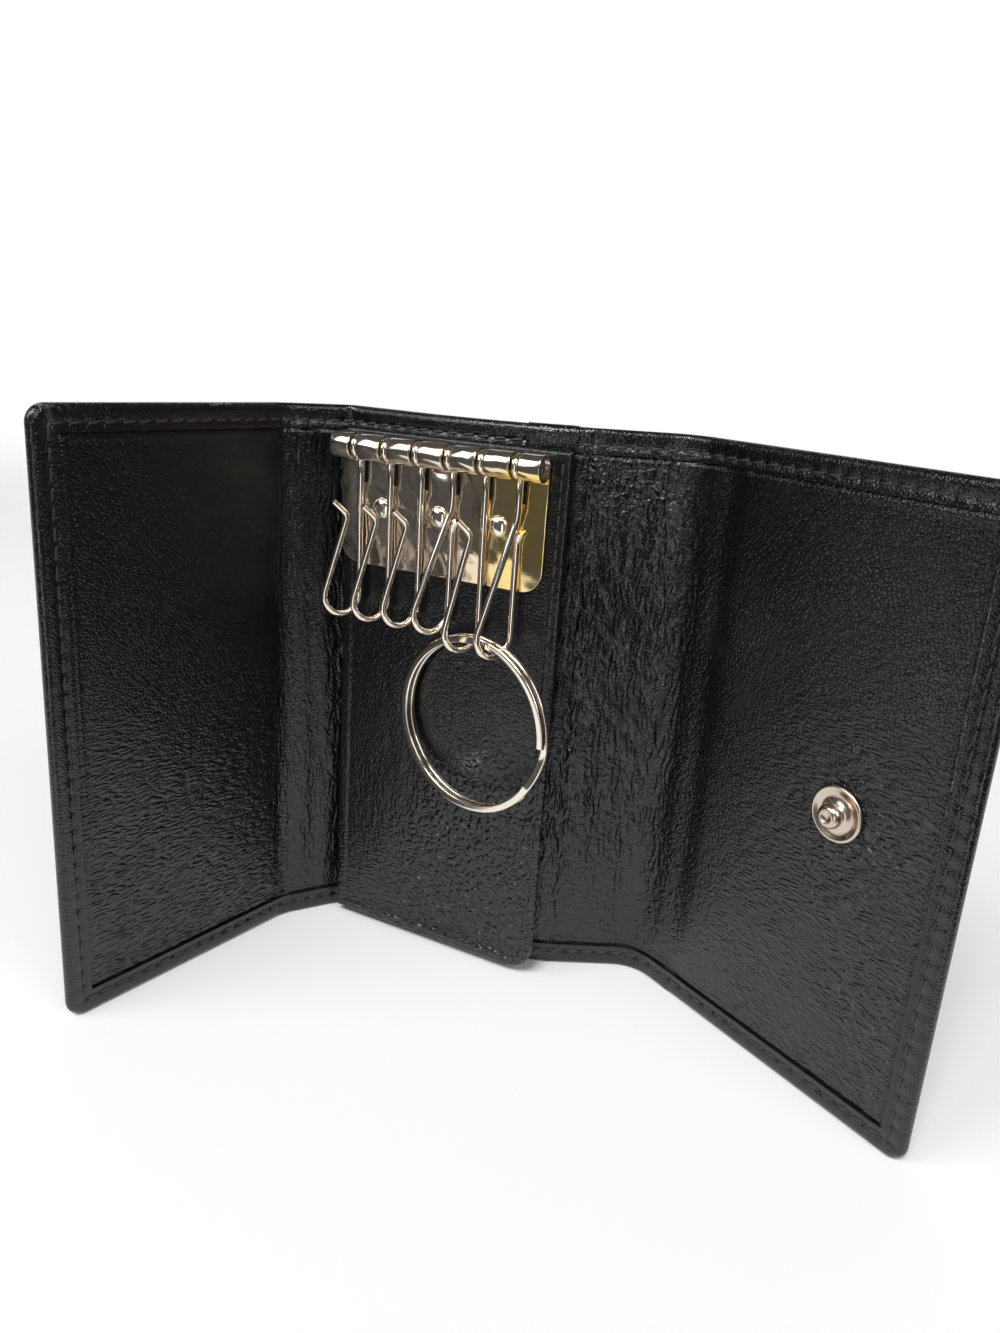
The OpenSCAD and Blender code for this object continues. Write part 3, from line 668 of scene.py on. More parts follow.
@dataclass(frozen=True)
class LeatherFinish:
    """Glazed black calf leather with a fine cell grain and creases where its piece marks them."""

    name: str
    dark: Triple
    light: Triple
    gloss: float
    dull: float
    specular: float = 0.64
    grain: float = 1500.0
    scuff: Triple = (0.16, 0.155, 0.15)
    bend: float = 0.0022
    crease_depth: float = 0.00032
    patterns: tuple[tuple[str, Triple], ...] = (
        ("upright", (880.0, 880.0, 150.0)),
        ("level", (320.0, 320.0, 1300.0)),
        ("pebble", (600.0, 600.0, 660.0)),
    )

    def build(self) -> Material:
        """Build the finish: colour, scuffs on worn edges, gloss, creases and grain."""
        nodes = Nodes(self.name)
        vector = nodes.coordinates()
        tone = nodes.blended(nodes.noise(vector, 60, 4), self.dark, self.light)
        patches = nodes.spread(nodes.noise(vector, 900, 6), (0.5, 0.62))
        rubbed = nodes.combined("MULTIPLY", nodes.attribute("wear"), patches)
        grain = nodes.cells(vector, (self.grain, self.grain, self.grain), 0.25)
        fine = nodes.bumped(grain, 0.5, 0.00006)
        rough = nodes.bumped(nodes.noise(vector, 750, 5), 0.5, 0.00015, fine)
        bent = nodes.wandering(vector, 190.0, self.bend)
        gloss = nodes.spread(nodes.noise(vector, 130, 5), (0.3, 0.7), (self.gloss, self.dull))
        total = None
        for name, scale in self.patterns:
            cells = nodes.cells(bent, scale, 0.36)
            depth = nodes.combined("MULTIPLY", nodes.attribute(name), cells)
            total = depth if total is None else nodes.combined("ADD", total, depth)
        return nodes.finish({
            "Base Color": nodes.blended(rubbed, tone, self.scuff),
            "Roughness": gloss,
            "Specular IOR Level": self.specular,
            "Normal": nodes.bumped(total, 0.9, self.crease_depth, rough),
        })


@dataclass(frozen=True)
class ThreadFinish:
    """Waxed twisted thread."""

    name: str
    colour: Triple
    roughness: float

    def build(self) -> Material:
        """Build the finish with fine strands."""
        nodes = Nodes(self.name)
        strands = nodes.noise(nodes.coordinates(), 5200, 2)
        lighter = tuple(channel * 2.6 for channel in self.colour)
        return nodes.finish({
            "Base Color": nodes.blended(strands, self.colour, lighter),
            "Roughness": self.roughness,
            "Specular IOR Level": 0.4,
            "Normal": nodes.bumped(strands, 0.6, 0.00008),
        })


@dataclass(frozen=True)
class NickelFinish:
    """Polished plating with faint scratches, which may be worn to warm metal at one end."""

    name: str
    colour: Triple
    roughness: float
    worn: Triple | None = None
    ripple: float = 0.0
    worn_from: Pair = (0.027, 0.037)
    worn_below: Pair = (0.0982, 0.0970)
    smudge: float = 0.07

    def build(self) -> Material:
        """Build the finish."""
        nodes = Nodes(self.name)
        vector = nodes.coordinates()
        split = nodes.add("SeparateXYZ")
        end = nodes.spread(nodes.feed(split, "X", {"Vector": vector}), self.worn_from)
        below = nodes.spread(split.outputs["Z"], self.worn_below)
        cloud = nodes.spread(nodes.noise(vector, 170, 3), (0.3, 0.5), (0.5, 1.0))
        patch = nodes.combined("MULTIPLY", nodes.combined("MULTIPLY", end, below), cloud)
        gloss = (self.roughness, self.roughness + self.smudge)
        scratches = nodes.noise(nodes.coordinates((300, 300, 4000)), 1.0, 3)
        normal = nodes.bumped(scratches, 0.12, 0.00004)
        if self.ripple:
            normal = nodes.bumped(nodes.noise(vector, 150, 1), 1.0, self.ripple, normal)
        return nodes.finish({
            "Base Color": nodes.blended(patch, self.colour, self.worn or self.colour),
            "Metallic": 1.0,
            "Roughness": nodes.spread(nodes.noise(vector, 400, 4), (0.3, 0.7), gloss),
            "Normal": normal,
        })


@dataclass(frozen=True)
class Finishes:
    """Procedural finishes of the case."""

    leather: Material
    lining: Material
    thread: Material
    nickel: Material
    plate: Material
    satin: Material


def make_finishes() -> Finishes:
    """Build each finish."""
    black, grey = (0.0018, 0.0018, 0.0021), (0.0042, 0.0042, 0.0048)
    # Part of the warm tint of these metal colours is the plating's own colour, and part is a
    # painted warm reflection of the surroundings.
    silver_and_warm_reflection, brass = (0.78, 0.695, 0.59), (0.93, 0.71, 0.27)
    return Finishes(
        leather=LeatherFinish("case_leather", black, grey, gloss=0.17, dull=0.27).build(),
        lining=LeatherFinish("lining_leather", black, grey, gloss=0.18, dull=0.28).build(),
        thread=ThreadFinish("black_thread", (0.018, 0.018, 0.019), 0.36).build(),
        # The nickel and satin colours also carry a painted warm reflection in their tint, on top of
        # their own colour.
        nickel=NickelFinish("polished_nickel", (0.89, 0.805, 0.70), 0.08).build(),
        plate=NickelFinish("worn_plate", silver_and_warm_reflection, 0.09, worn=brass, ripple=0.0008).build(),
        satin=NickelFinish("satin_nickel", (0.66, 0.56, 0.46), 0.20).build(),
    )


@dataclass
class Workshop:
    """What every maker needs: the finishes, the leather's shape and the report of each piece."""

    finishes: Finishes
    sheet: LeatherSheet
    count: int = 0

    def deliver(self, piece: Piece, slot: Slot, body: str, *nodes: str) -> None:
        """Let a finished piece ride on a body and stand for its nodes.

        Args:
            piece: The finished piece.
            slot: Material slot; not used.
            body: Body that the piece rides on.
            nodes: Nodes that the piece replaces.
        """
        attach(piece, body)
        self.register(piece, slot, *nodes)

    def register(self, piece: Piece, slot: Slot, *nodes: str) -> None:
        """Hide the nodes that a piece replaces, and report the piece with them."""
        if nodes:
            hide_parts(*nodes)
        self.count += 1
        faces, stands = len(piece.data.polygons), ", ".join(nodes) or "no node"
        LOG.info("%s: %d faces, stands for %s", piece.name, faces, stands)


@dataclass
class LeatherCase:
    """The folded leather: five panels with a soft strip of leather across each fold."""

    shop: Workshop
    pitch: float = 0.5
    fold_half: float = 2.3
    fold_margin: float = 0.18
    corner_gap: float = 1.2
    thread: Triple = (1.1, 0.27, 0.25)
    thread_lean: float = 0.09
    edge_round: float = 1.2
    hem_marks: tuple[float, ...] = (2.2, 2.55, 2.9, 3.25, 3.7, 4.1, 4.3, 4.45, 4.65, 4.85, 5.1,
                                    5.35, 5.6, 6.0)
    panels: tuple[str, ...] = ("left_flap", "left_spine", "centre", "right_spine", "right_flap")

    def _edge_marks(self) -> list[float]:
        """Distances from an edge at which the turned edge needs a row."""
        return [*round_marks(self.edge_round), *self.hem_marks]

    def _rows(self, inset: float) -> list[float]:
        """Heights of the rows, from an inset above the foot to the same inset below the top."""
        top = self.shop.sheet.plan.height
        marks = [mark for mark in self._edge_marks() if mark > inset]
        return stations(inset, top - inset, 0.62, (0, top), marks)

    def _columns(self, start: float, end: float) -> list[float]:
        """Places of the columns between two places, close together at a free edge."""
        edges = (0, self.shop.sheet.plan.length)
        return stations(start, end, self.pitch, edges, self._edge_marks())

    def _layer(self, name: str, start: float, end: float, lining: bool) -> Piece:
        """Make the outer leather or the lining of one stretch."""
        sheet = self.shop.sheet
        inset = sheet.hem - 0.4 if lining else 0.0
        start, end = max(start, inset), min(end, sheet.plan.length - inset)
        depth = sheet.lining_depth if lining else sheet.cover_depth

        def place(column: float, row: float, face: Face) -> Vector:
            """Give the point of a column and a row."""
            spot = (column, row) if lining else sheet.rounded(column, row)
            return sheet.point(*spot, depth(column, row, face))

        bm = slab(self._columns(start, end), self._rows(inset), place, sheet.marks())
        finishes = self.shop.finishes
        return finished(bm, name, finishes.lining if lining else finishes.leather)

    def _stitches(self, name: str, start: float, end: float) -> Piece:
        """Sew the hem of one stretch, on both faces, with one short thread for each stitch."""
        sheet = self.shop.sheet
        inset, top, length = sheet.stitch_inset, sheet.plan.height, sheet.plan.length
        bm = bmesh.new()
        margin = inset + self.corner_gap
        low, high = max(start, margin), min(end, length - margin)
        for face in Face:
            for place in self._spots(low, high):
                for height in (inset, top - inset):
                    self._stitch(bm, place, height, face, False)
            for edge in [inset] * (start == 0) + [length - inset] * (end == length):
                for height in self._spots(margin, top - margin):
                    self._stitch(bm, edge, height, face, True)
        return finished(bm, name, self.shop.finishes.thread, 80)

    def _spots(self, low: float, high: float) -> list[float]:
        """List the middles of the stitches that lie between two places of a seam."""
        pitch = self.shop.sheet.stitch_pitch
        spots = [(index + 0.5) * pitch for index in range(math.ceil(high / pitch))]
        return [spot for spot in spots if low <= spot < high]

    def _stitch(self, bm: Mesh, place: float, height: float, face: Face, upright: bool) -> None:
        """Add one stitch that lies in the groove of the hem."""
        sheet = self.shop.sheet
        centre = sheet.point(place, height, sheet.cover_depth(place, height, face))
        beside = sheet.point(place + 0.1, height, sheet.cover_depth(place, height, face))
        across, up = (beside - centre).normalized(), Vector((0, 0, 1))
        along, side = (up, across) if upright else (across, up)
        along = (along + self.thread_lean * side).normalized()
        lay_thread(bm, centre, along, side, self.thread)

    def _pieces(self, names: list[str], start: float, end: float) -> Iterator[tuple[Slot, Piece]]:
        """Make the outer leather, the lining and the stitches of one stretch, under three names."""
        yield Slot.LEATHER, self._layer(names[0], start, end, False)
        yield Slot.LINING, self._layer(names[1], start, end, True)
        yield Slot.THREAD, self._stitches(names[2], start, end)

    def build(self) -> None:
        """Make the panels, their linings and stitches, and the strips across the folds."""
        plan = self.shop.sheet.plan
        ends = [0.0, *plan.folds, plan.length]
        for index, panel in enumerate(self.panels):
            start = ends[index] + (self.fold_half if index else 0)
            end = ends[index + 1] - (self.fold_half if index < len(self.panels) - 1 else 0)
            board = [] if panel.endswith("spine") else [panel + "_board"]
            nodes = {
                Slot.LEATHER: [panel, panel + "_shell", *board],
                Slot.LINING: [panel, panel + "_lining"],
                Slot.THREAD: [panel, panel + "_stitching"],
            }
            names = [panel + "_cover", panel + "_inside", panel + "_threads"]
            for slot, piece in self._pieces(names, start, end):
                self.shop.deliver(piece, slot, *nodes[slot])
        for index, fold in enumerate(plan.folds):
            self._fold(fold, *self.panels[index : index + 2])

    def _fold(self, fold: float, first: str, second: str) -> None:
        """Bridge one fold with leather, lining and thread that curve round it; these strips ride on
        neither panel.
        """
        sheet = self.shop.sheet
        start, end = fold - self.fold_half, fold + self.fold_half
        from_point, to_point = sheet.point(start, 0, 0) * MM, sheet.point(end, 0, 0) * MM
        layers = ("leather", "lining", "threads")
        names = ["%s_%s_fold_%s" % (first, second, layer) for layer in layers]
        for slot, piece in self._pieces(names, start, end):
            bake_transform(piece)
            self.shop.register(piece, slot)


@dataclass
class KeyPanel:
    """The separate leaf that carries the hook rack, and the tab over its upper corner."""

    shop: Workshop
    left: float = 1.6
    width: float = 46.0
    foot: float = 1.5
    top: float = 101.32
    back: float = -2.70
    front: float = -4.0
    corner: float = 5.5
    rim: float = 1.9
    seam_inset: float = 1.55
    first_stitch: float = 1.4
    stitch_pitch: float = 2.9
    thread: Triple = (1.05, 0.24, 0.18)
    tab_width: float = 9.0
    tab_offset: float = 2.4
    tab_edge: float = 0.4

    def _rounded(self, x: float, z: float) -> Pair:
        """Move a grid point near the lower free corner onto its arc."""
        side, end = self.width - x, z - self.foot
        if side >= self.corner or end >= self.corner:
            return x, z
        side, end = on_corner(side, end, self.corner)
        return self.width - side, self.foot + end

    def _front(self, x: float, z: float, distance: float) -> float:
        """Give the depth of the front face, with its rolled rim and its wrinkles."""
        inside = smooth(self.rim, self.rim + 0.5, distance)
        relief = 0.10 * wave(x / 14, z / 16, 81.0)
        pebbled = smooth(16, 34, x + 0.35 * (40 - z)) * (1 - smooth(34, 50, z))
        relief += 0.13 * pebbled * wave(x / 2.1, z / 1.9, 83.0)
        relief -= 0.16 * pebbled * creases(z, x, 2.0, 3.4, 84.0)
        relief -= 0.06 * creases(x, z, 2.6, 12, 85.0) * inside
        return self.front + 0.14 * inside - inside * relief

    def _pebble(self, x: float, z: float) -> float:
        """Give how strongly the leaf's lower free corner shows its cells."""
        return 0.04 + 0.75 * smooth(14, 32, x + 0.35 * (40 - z)) * (1 - smooth(34, 52, z))

    def _leaf(self) -> Piece:
        """Make the leaf with a soft rim all round."""
        half = (self.back - self.front) / 2
        middle = (self.back + self.front) / 2
        marks = round_marks(half) + [1.2, 1.6, 1.9, 2.15, 2.4, 2.8]

        def place(x: float, z: float, face: Face) -> Vector:
            """Give the point of the leaf."""
            distance = min(x, self.width - x, z - self.foot, self.top - z)
            share = round_share(distance, half)
            depth = self.back if face is Face.OUTER else self._front(x, z, distance)
            moved_x, moved_z = self._rounded(x, z)
            return Vector((self.left + moved_x, middle + (depth - middle) * share, moved_z))

        values = {
            "upright": lambda _, z: 0.15 * (1 - smooth(20, 50, z)),
            "level": lambda _, z: 0.3 * (1 - smooth(10, 34, z)),
            "pebble": self._pebble,
        }
        columns = stations(0, self.width, 0.55, (0, self.width), marks)
        rows = stations(self.foot, self.top, 0.6, (self.foot, self.top), marks)
        leaf = slab(columns, rows, place, values)
        return finished(leaf, "key_panel_leaf", self.shop.finishes.leather)

    def _threads(self) -> Piece:
        """Sew the leaf's lower and free edges."""
        bm = bmesh.new()
        inset, first, pitch = self.seam_inset, self.first_stitch, self.stitch_pitch
        low = Vector((self.left + inset, 0, self.foot + inset))
        bend = self.width - self.corner
        spots: list[tuple[Vector, Vector]] = []
        for index in range(round((bend - inset) / pitch)):
            spots.append((low + Vector((first + index * pitch, 0, 0)), Vector((1, 0, 0))))
        centre = (self.left + bend, self.foot + self.corner)
        for x, z in arc(centre, self.corner - inset, -75, -15, 2):
            outward = Vector((x - self.left - bend, 0, z - self.foot - self.corner)).normalized()
            spots.append((Vector((x, 0, z)), Vector((-outward.z, 0, outward.x))))
        for index in range(round((self.top - self.foot - self.corner - 1) / pitch)):
            height = self.foot + self.corner + first + index * pitch
            spots.append((Vector((self.left + self.width - inset, 0, height)), Vector((0, 0, 1))))
        for spot, along in spots:
            spot.y = self.front - 0.03
            lay_thread(bm, spot, along, along.cross(Vector((0, 1, 0))), self.thread)
        return finished(bm, "key_panel_threads", self.shop.finishes.thread, 80)

    def _tab(self) -> Piece:
        """Make the short band of leather that wraps over the upper hem at the leaf's corner."""
        sheet = self.shop.sheet
        plan = sheet.plan
        end = plan.folds[2] - self.tab_offset
        start = end - self.tab_width
        out, inn, top, leg = 1.55, -1.15, plan.height + 0.03, 3.5
        middle, radius = (out + inn) / 2, (out - inn) / 2
        spine = [(inn, top - leg - radius + 1.2)]
        spine += [(middle - y, top - radius + x) for y, x in arc((0, 0), radius, 0, 180, 12)]
        spine += [(out, top - leg - radius + 1.2)]
        rows = [float(index) for index in range(len(spine))]

        def place(column: float, row: float, face: Face) -> Vector:
            """Give the point of the band."""
            depth, height = spine[int(row)]
            shrink = 0.13 if face is Face.OUTER else -0.1
            edge = min(column - start, end - column)
            shrink *= round_share(edge, self.tab_edge)
            away = Vector((depth - middle, height - min(height, top - radius)))
            away.normalize()
            spot = Vector((depth, height)) + away * (shrink + 0.04 * wave(column, row, 90.0))
            return sheet.point(column, spot.y, spot.x)

        columns = stations(start, end, 0.5, (start, end), (0.08, 0.2, 0.4))
        return finished(slab(columns, rows, place), "top_tab_leather", self.shop.finishes.leather)

    def build(self) -> None:
        """Make the leaf, its threads and the tab."""
        self.shop.deliver(self._leaf(), Slot.LEATHER, "centre", "key_panel_front", "key_panel_back")
        self.shop.deliver(self._threads(), Slot.THREAD, "centre", "key_panel_stitching")
        self.shop.deliver(self._tab(), Slot.LEATHER, "centre", "panel_top_tab")


@dataclass
class HookRack:
    """The rolled metal rack with its rod and rivets."""

    shop: Workshop
    start: float = 1.5
    rod_y: float = -6.453
    rod_z: float = 98.3
    end_width: float = 4.0
    slot: float = 1.8
    pitch: float = 6.54
    hooks: int = 6
    outer: float = 2.4
    inner: float = 1.8
    drop: float = 21.8
    window: float = 6.5
    corner: float = 4.0
    edge_bevel: float = 0.11
    rivet_pitch: float = 12.2
    rivet_drop: float = 10.9
    tail_y: float = -1.9

    @property
    def width(self) -> float:
        """Width of the rack."""
        return 2 * self.end_width + self.slot + (self.hooks - 1) * self.pitch

    def hook_x(self, index: float) -> float:
        """Give how far to the right a hook's slot lies."""
        return self.start + self.end_width + self.slot / 2 + index * self.pitch

    def _knuckles(self) -> list[Pair]:
        """Start and end of each stretch of the barrel between the slots."""
        slots = [self.end_width + index * self.pitch for index in range(self.hooks)]
        starts = [0.0] + [slot + self.slot for slot in slots]
        return list(zip(starts, slots + [self.width]))

    def _barrel(self) -> Piece:
        """Turn the knuckles of the barrel, each with soft edges."""
        whole = bmesh.new()
        soft = 0.14
        for start, end in self._knuckles():
            profile = arc((self.outer - soft, start + soft), soft, -90, 0, 3)
            profile += arc((self.outer - soft, end - soft), soft, 0, 90, 3)
            profile += [(self.inner, end), (self.inner, start)]
            part = turned(profile, 56)
            moved(part, Matrix.Rotation(math.pi / 2, 4, "Y"))
            absorb(whole, part)
        moved(whole, Matrix.Translation((self.start, self.rod_y, self.rod_z)))
        return finished(whole, "rack_barrel", self.shop.finishes.plate, 50)

    def _plate(self) -> Piece:
        """Cut the plate with its windows and round its lower corners."""
        bm = bmesh.new()
        low = self.corner - self.drop
        outline = arc((self.corner, low), self.corner, 180, 270, 8)
        outline += arc((self.width - self.corner, low), self.corner, 270, 360, 8)
        tops = []
        for start, end in self._knuckles():
            tops += [(start, -self.window), (start, 0.0), (end, 0.0), (end, -self.window)]
        outline += reversed(tops[1:-1])
        bm.faces.new([bm.verts.new((x, 0, z)) for x, z in outline])
        thickened(bm, (0, self.outer - self.inner, 0))
        bmesh.ops.recalc_face_normals(bm, faces=bm.faces[:])
        rims = [edge for edge in bm.edges if edge.calc_face_angle(0) > math.radians(60)]
        bmesh.ops.bevel(bm, geom=rims, offset=self.edge_bevel, segments=2, profile=0.5,
                        affect="EDGES", material=-1)
        moved(bm, Matrix.Translation((self.start, self.rod_y + self.inner, self.rod_z)))
        return finished(bm, "rack_plate", self.shop.finishes.plate, 35)

    def _rivets(self) -> Piece:
        """Set the domed rivets on the plate, each with a flat tail behind the leaf."""
        whole = bmesh.new()
        head, height, shank, tail, tail_height = 1.9, 0.9, 1.0, 1.5, 0.3
        angles = [math.radians(angle) for angle in range(0, 90, 10)]
        dome = [(head * math.cos(angle), height * math.sin(angle)) for angle in angles]
        reach = self.tail_y - self.rod_y - self.inner
        profile = [(0.0, -reach), (tail, -reach), (tail, tail_height - reach)]
        profile += [(shank, tail_height - reach), (shank, 0.0)]
        for index in (-1, 0, 1):
            part = turned(profile + dome + [(0.0, height)], 40)
            moved(part, Matrix.Rotation(math.pi / 2, 4, "X"))
            x = self.start + self.width / 2 + index * self.rivet_pitch
            spot = (x, self.rod_y + self.inner, self.rod_z - self.rivet_drop)
            moved(part, Matrix.Translation(spot))
            absorb(whole, part)
        return finished(whole, "rack_rivet_heads", self.shop.finishes.nickel, 35)

    def build(self) -> None:
        """Make the barrel, the plate and the rivets."""
        self.shop.deliver(self._barrel(), Slot.NICKEL, "centre", "hook_rack")
        self.shop.deliver(self._plate(), Slot.NICKEL, "centre", "hook_rack")
        self.shop.deliver(self._rivets(), Slot.NICKEL, "centre", "rack_rivets")


@dataclass
class KeyHooks:
    """The sprung wire hooks that hang from the rod."""

    shop: Workshop
    rack: HookRack
    wire: float = 0.6
    eye: float = 1.62
    drop: float = 27.5
    loaded_drop: float = 2.2
    loop: float = 3.6
    twist: float = 27.0
    loop_back: float = 1.1
    shank: Pair = (0.9, -9.0)
    neck: Pair = (-1.6, -12.5)
    tip: Pair = (-4.6, -9.9)
    mirrored_tip: Pair = (1.0, 1.4)
    tip_taper: float = 0.8
    shank_ease: float = 1.6
    neck_ease: float = 1.1
    mirrored: tuple[int, ...] = (3, 5)
    loaded: tuple[int, ...] = (4, 5)

    def _lean(self, point: Pair, centre: Pair, side: int) -> float:
        """Angle in degrees of the straight that leaves the loop and passes a point."""
        across, up = point[0] - centre[0], point[1] - centre[1]
        spread = side * math.asin(self.loop / math.hypot(across, up))
        return math.degrees(spread + math.atan2(across, up))

    def _twisted(self, spot: Vector) -> Vector:
        """Turn a point of the bend about the shank."""
        axis = Vector((0, self.shank[0], 0))
        return axis + Matrix.Rotation(math.radians(-self.twist), 3, "Z") @ (spot - axis)

    def hang(self, index: float) -> Vector:
        """Give the middle of the bend of a hook that carries the ring."""
        bend = self._twisted(Vector((0, self.loop_back - self.loop, -self.drop - self.loaded_drop)))
        return Vector((self.rack.hook_x(index), self.rack.rod_y, self.rack.rod_z)) + bend

    def _route(self, index: int) -> list[Vector]:
        """List the points of one hook's wire, from its eye to its tip."""
        mirrored = index in self.mirrored
        drop = self.drop + self.loaded_drop * (index in self.loaded)
        centre = (self.loop_back - self.loop, -drop)
        neck = (self.loop_back, self.neck[1]) if mirrored else self.neck
        front = self._lean(self.shank if mirrored else neck, centre, 1)
        back = self._lean(neck if mirrored else self.shank, centre, -1)
        bend = arc(centre, self.loop, 180 - front, 360 - back, 22)
        if mirrored:
            tip = Vector((self.mirrored_tip[0], self.loop_back, neck[1] + self.mirrored_tip[1]))
        else:
            tip = Vector((0, *self.tip))
            bend.reverse()
        low = -math.sqrt(self.eye**2 - self.shank[0] ** 2)
        start = math.degrees(math.atan2(low, self.shank[0]))
        eye = [Vector((0, y, z)) for y, z in arc((0, 0), self.eye, start + 360, start, 28)]
        loop = [self._twisted(Vector((0, y, z))) for y, z in bend]
        corner, tip = self._twisted(Vector((0, *neck))), self._twisted(tip)
        shank = Vector((0, *self.shank))
        route = eye + eased_corner(eye[-1], shank, loop[0], self.shank_ease) + loop
        return route + eased_corner(loop[-1], corner, tip, self.neck_ease) + [tip]

    def _hook(self, index: int) -> Piece:
        """Bend one hook from round wire."""
        curve = bpy.data.curves.new("hook_wire", "CURVE")
        curve.dimensions = "3D"
        curve.bevel_depth = self.wire
        curve.bevel_resolution = 5
        curve.use_fill_caps = True
        route = self._route(index)
        spline = curve.splines.new("POLY")
        spline.points.add(len(route) - 1)
        for point, spot in zip(spline.points, route):
            point.co = (*spot, 1)
        spline.points[-1].radius = self.tip_taper
        holder = linked("hook_wire", curve)
        bpy.context.view_layer.update()
        mesh = bpy.data.meshes.new_from_object(holder)
        bpy.data.objects.remove(holder)
        bm = bmesh.new()
        bm.from_mesh(mesh)
        bpy.data.meshes.remove(mesh)
        bmesh.ops.remove_doubles(bm, verts=bm.verts[:], dist=0.0005)
        rack = self.rack
        moved(bm, Matrix.Translation((rack.hook_x(index), rack.rod_y, rack.rod_z)))
        return finished(bm, "key_hook_%d" % (index + 1), self.shop.finishes.nickel, 60)

    def build(self) -> None:
        """Make every hook."""
        for index in range(self.rack.hooks):
            name = "hook_%d" % (index + 1)
            self.shop.deliver(self._hook(index), Slot.NICKEL, name, name)


@dataclass
class SplitRing:
    """The split ring on the last two hooks: flat wire wound twice."""

    shop: Workshop
    hooks: KeyHooks
    radius: float = 15.8
    width: float = 1.4
    thickness: float = 0.95
    gap: float = 0.42
    seat: float = 1.4
    turn: float = 10.0
    step_angle: float = 24.0
    end_angle: float = 8.0
    edge_round: float = 0.26
    coil_steps: int = 82
    rise_steps: int = 8

    def build(self) -> None:
        """Wind the ring and hang it."""
        bm = bmesh.new()
        soft = self.edge_round
        outline: list[Pair] = []
        corners = ((1, 1, 0), (-1, 1, 90), (-1, -1, 180), (1, -1, 270))
        for across, along, angle in corners:
            centre = (across * (self.width / 2 - soft), along * (self.thickness / 2 - soft))
            outline += arc(centre, soft, angle, angle + 90, 4)
        shift = (self.thickness + self.gap) / 2
        verts = [bm.verts.new((self.radius + x, y - shift, 0)) for x, y in outline]
        edges = [bm.edges.new((vert, verts[index - 1])) for index, vert in enumerate(verts)]
        bm.faces.new(verts)
        step_start = 360 - self.end_angle - self.step_angle
        geom: list = verts + edges
        coil = (step_start, self.coil_steps, 0)
        for angle, steps, rise in (coil, (self.step_angle, self.rise_steps, 2 * shift), coil):
            spun = bmesh.ops.spin(bm, geom=geom, cent=(0, 0, 0), axis=(0, -1, 0),
                                  angle=math.radians(angle), steps=steps, dvec=(0, rise / steps, 0))
            geom = [item for item in spun["geom_last"] if not isinstance(item, bmesh.types.BMFace)]
        bm.faces.new([item for item in geom if isinstance(item, bmesh.types.BMVert)])
        rack, hooks = self.hooks.rack, self.hooks
        reach = rack.pitch / 2 / math.cos(math.radians(self.turn))
        drop = self.seat + math.sqrt(self.radius**2 - reach**2)
        hang = Matrix.Translation(hooks.hang(rack.hooks - 1.5) - Vector((0, 0, drop)))
        turn = Matrix.Rotation(math.radians(-self.turn), 4, "Z")
        moved(bm, hang @ turn)
        ring = finished(bm, "key_split_ring", self.shop.finishes.nickel, 50)
        self.shop.deliver(ring, Slot.NICKEL, "ring", "split_ring")


@dataclass
class Snap:
    """The snap fastener: a stud on the right flap and a socket on the left one."""

    shop: Workshop
    flange: float = 4.7
    rim: float = 0.4
    stud_depth: float = -0.72

    def _half(self, name: str, profile: list[Pair], place: float, depth: float,
              inward: bool) -> Piece:
        """Turn one half and set it on the leather, with its axis across the sheet."""
        sheet = self.shop.sheet
        spot = sheet.point(place, sheet.snap_height, depth)
        out = (sheet.point(place, sheet.snap_height, depth + 1) - spot) * (-1 if inward else 1)
        turn = Vector((0, 0, 1)).rotation_difference(out).to_matrix().to_4x4()
        bm = turned(profile, 64)
        moved(bm, Matrix.Translation(spot) @ turn)
        return finished(bm, name, self.shop.finishes.satin, 45)

    def _stud(self) -> Piece:
        """Make the stud: a dished flange with a rolled rim and a post with a dished, round head."""
        edge = self.flange - self.rim
        profile = [(0.0, -0.3), (edge, -0.3)] + arc((edge, self.rim), self.rim, -90, 120, 8)
        profile += [(3.7, 0.55), (3.3, 0.42), (2.7, 0.42), (2.3, 0.62)]
        profile += [(1.95, 0.75), (1.72, 0.95), (1.66, 1.1)]
        profile += arc((0.7, 1.9), 1.4, -30, 60, 9) + arc((1.1, 2.92), 0.22, 75, 170, 5)
        profile += arc((0.0, 4.576), 1.876, -61.3, -90, 6)
        sheet = self.shop.sheet
        place = sheet.plan.length - sheet.stud_inset
        return self._half("snap_stud_metal", profile, place, self.stud_depth, True)

    def _socket(self) -> Piece:
        """Make the socket: a flange, a rolled rim and a bore."""
        profile = [(0.0, -0.75), (2.75, -0.75), (2.75, 0.0), (4.4, 0.0)]
        profile += arc((4.45, 0.25), 0.25, -90, 90, 6)
        profile += [(3.6, 0.42), (3.2, 0.6), (3.12, 0.9)] + arc((2.75, 1.2), 0.4, 0, 180, 8)
        profile += [(2.35, 0.0), (2.35, -0.62), (0.0, -0.62)]
        sheet = self.shop.sheet
        return self._half("snap_socket_metal", profile, sheet.socket_place, sheet.panel_back, False)

    def build(self) -> None:
        """Make both halves."""
        self.shop.deliver(self._stud(), Slot.NICKEL, "right_flap", "snap_stud")
        self.shop.deliver(self._socket(), Slot.NICKEL, "left_flap", "snap_socket")


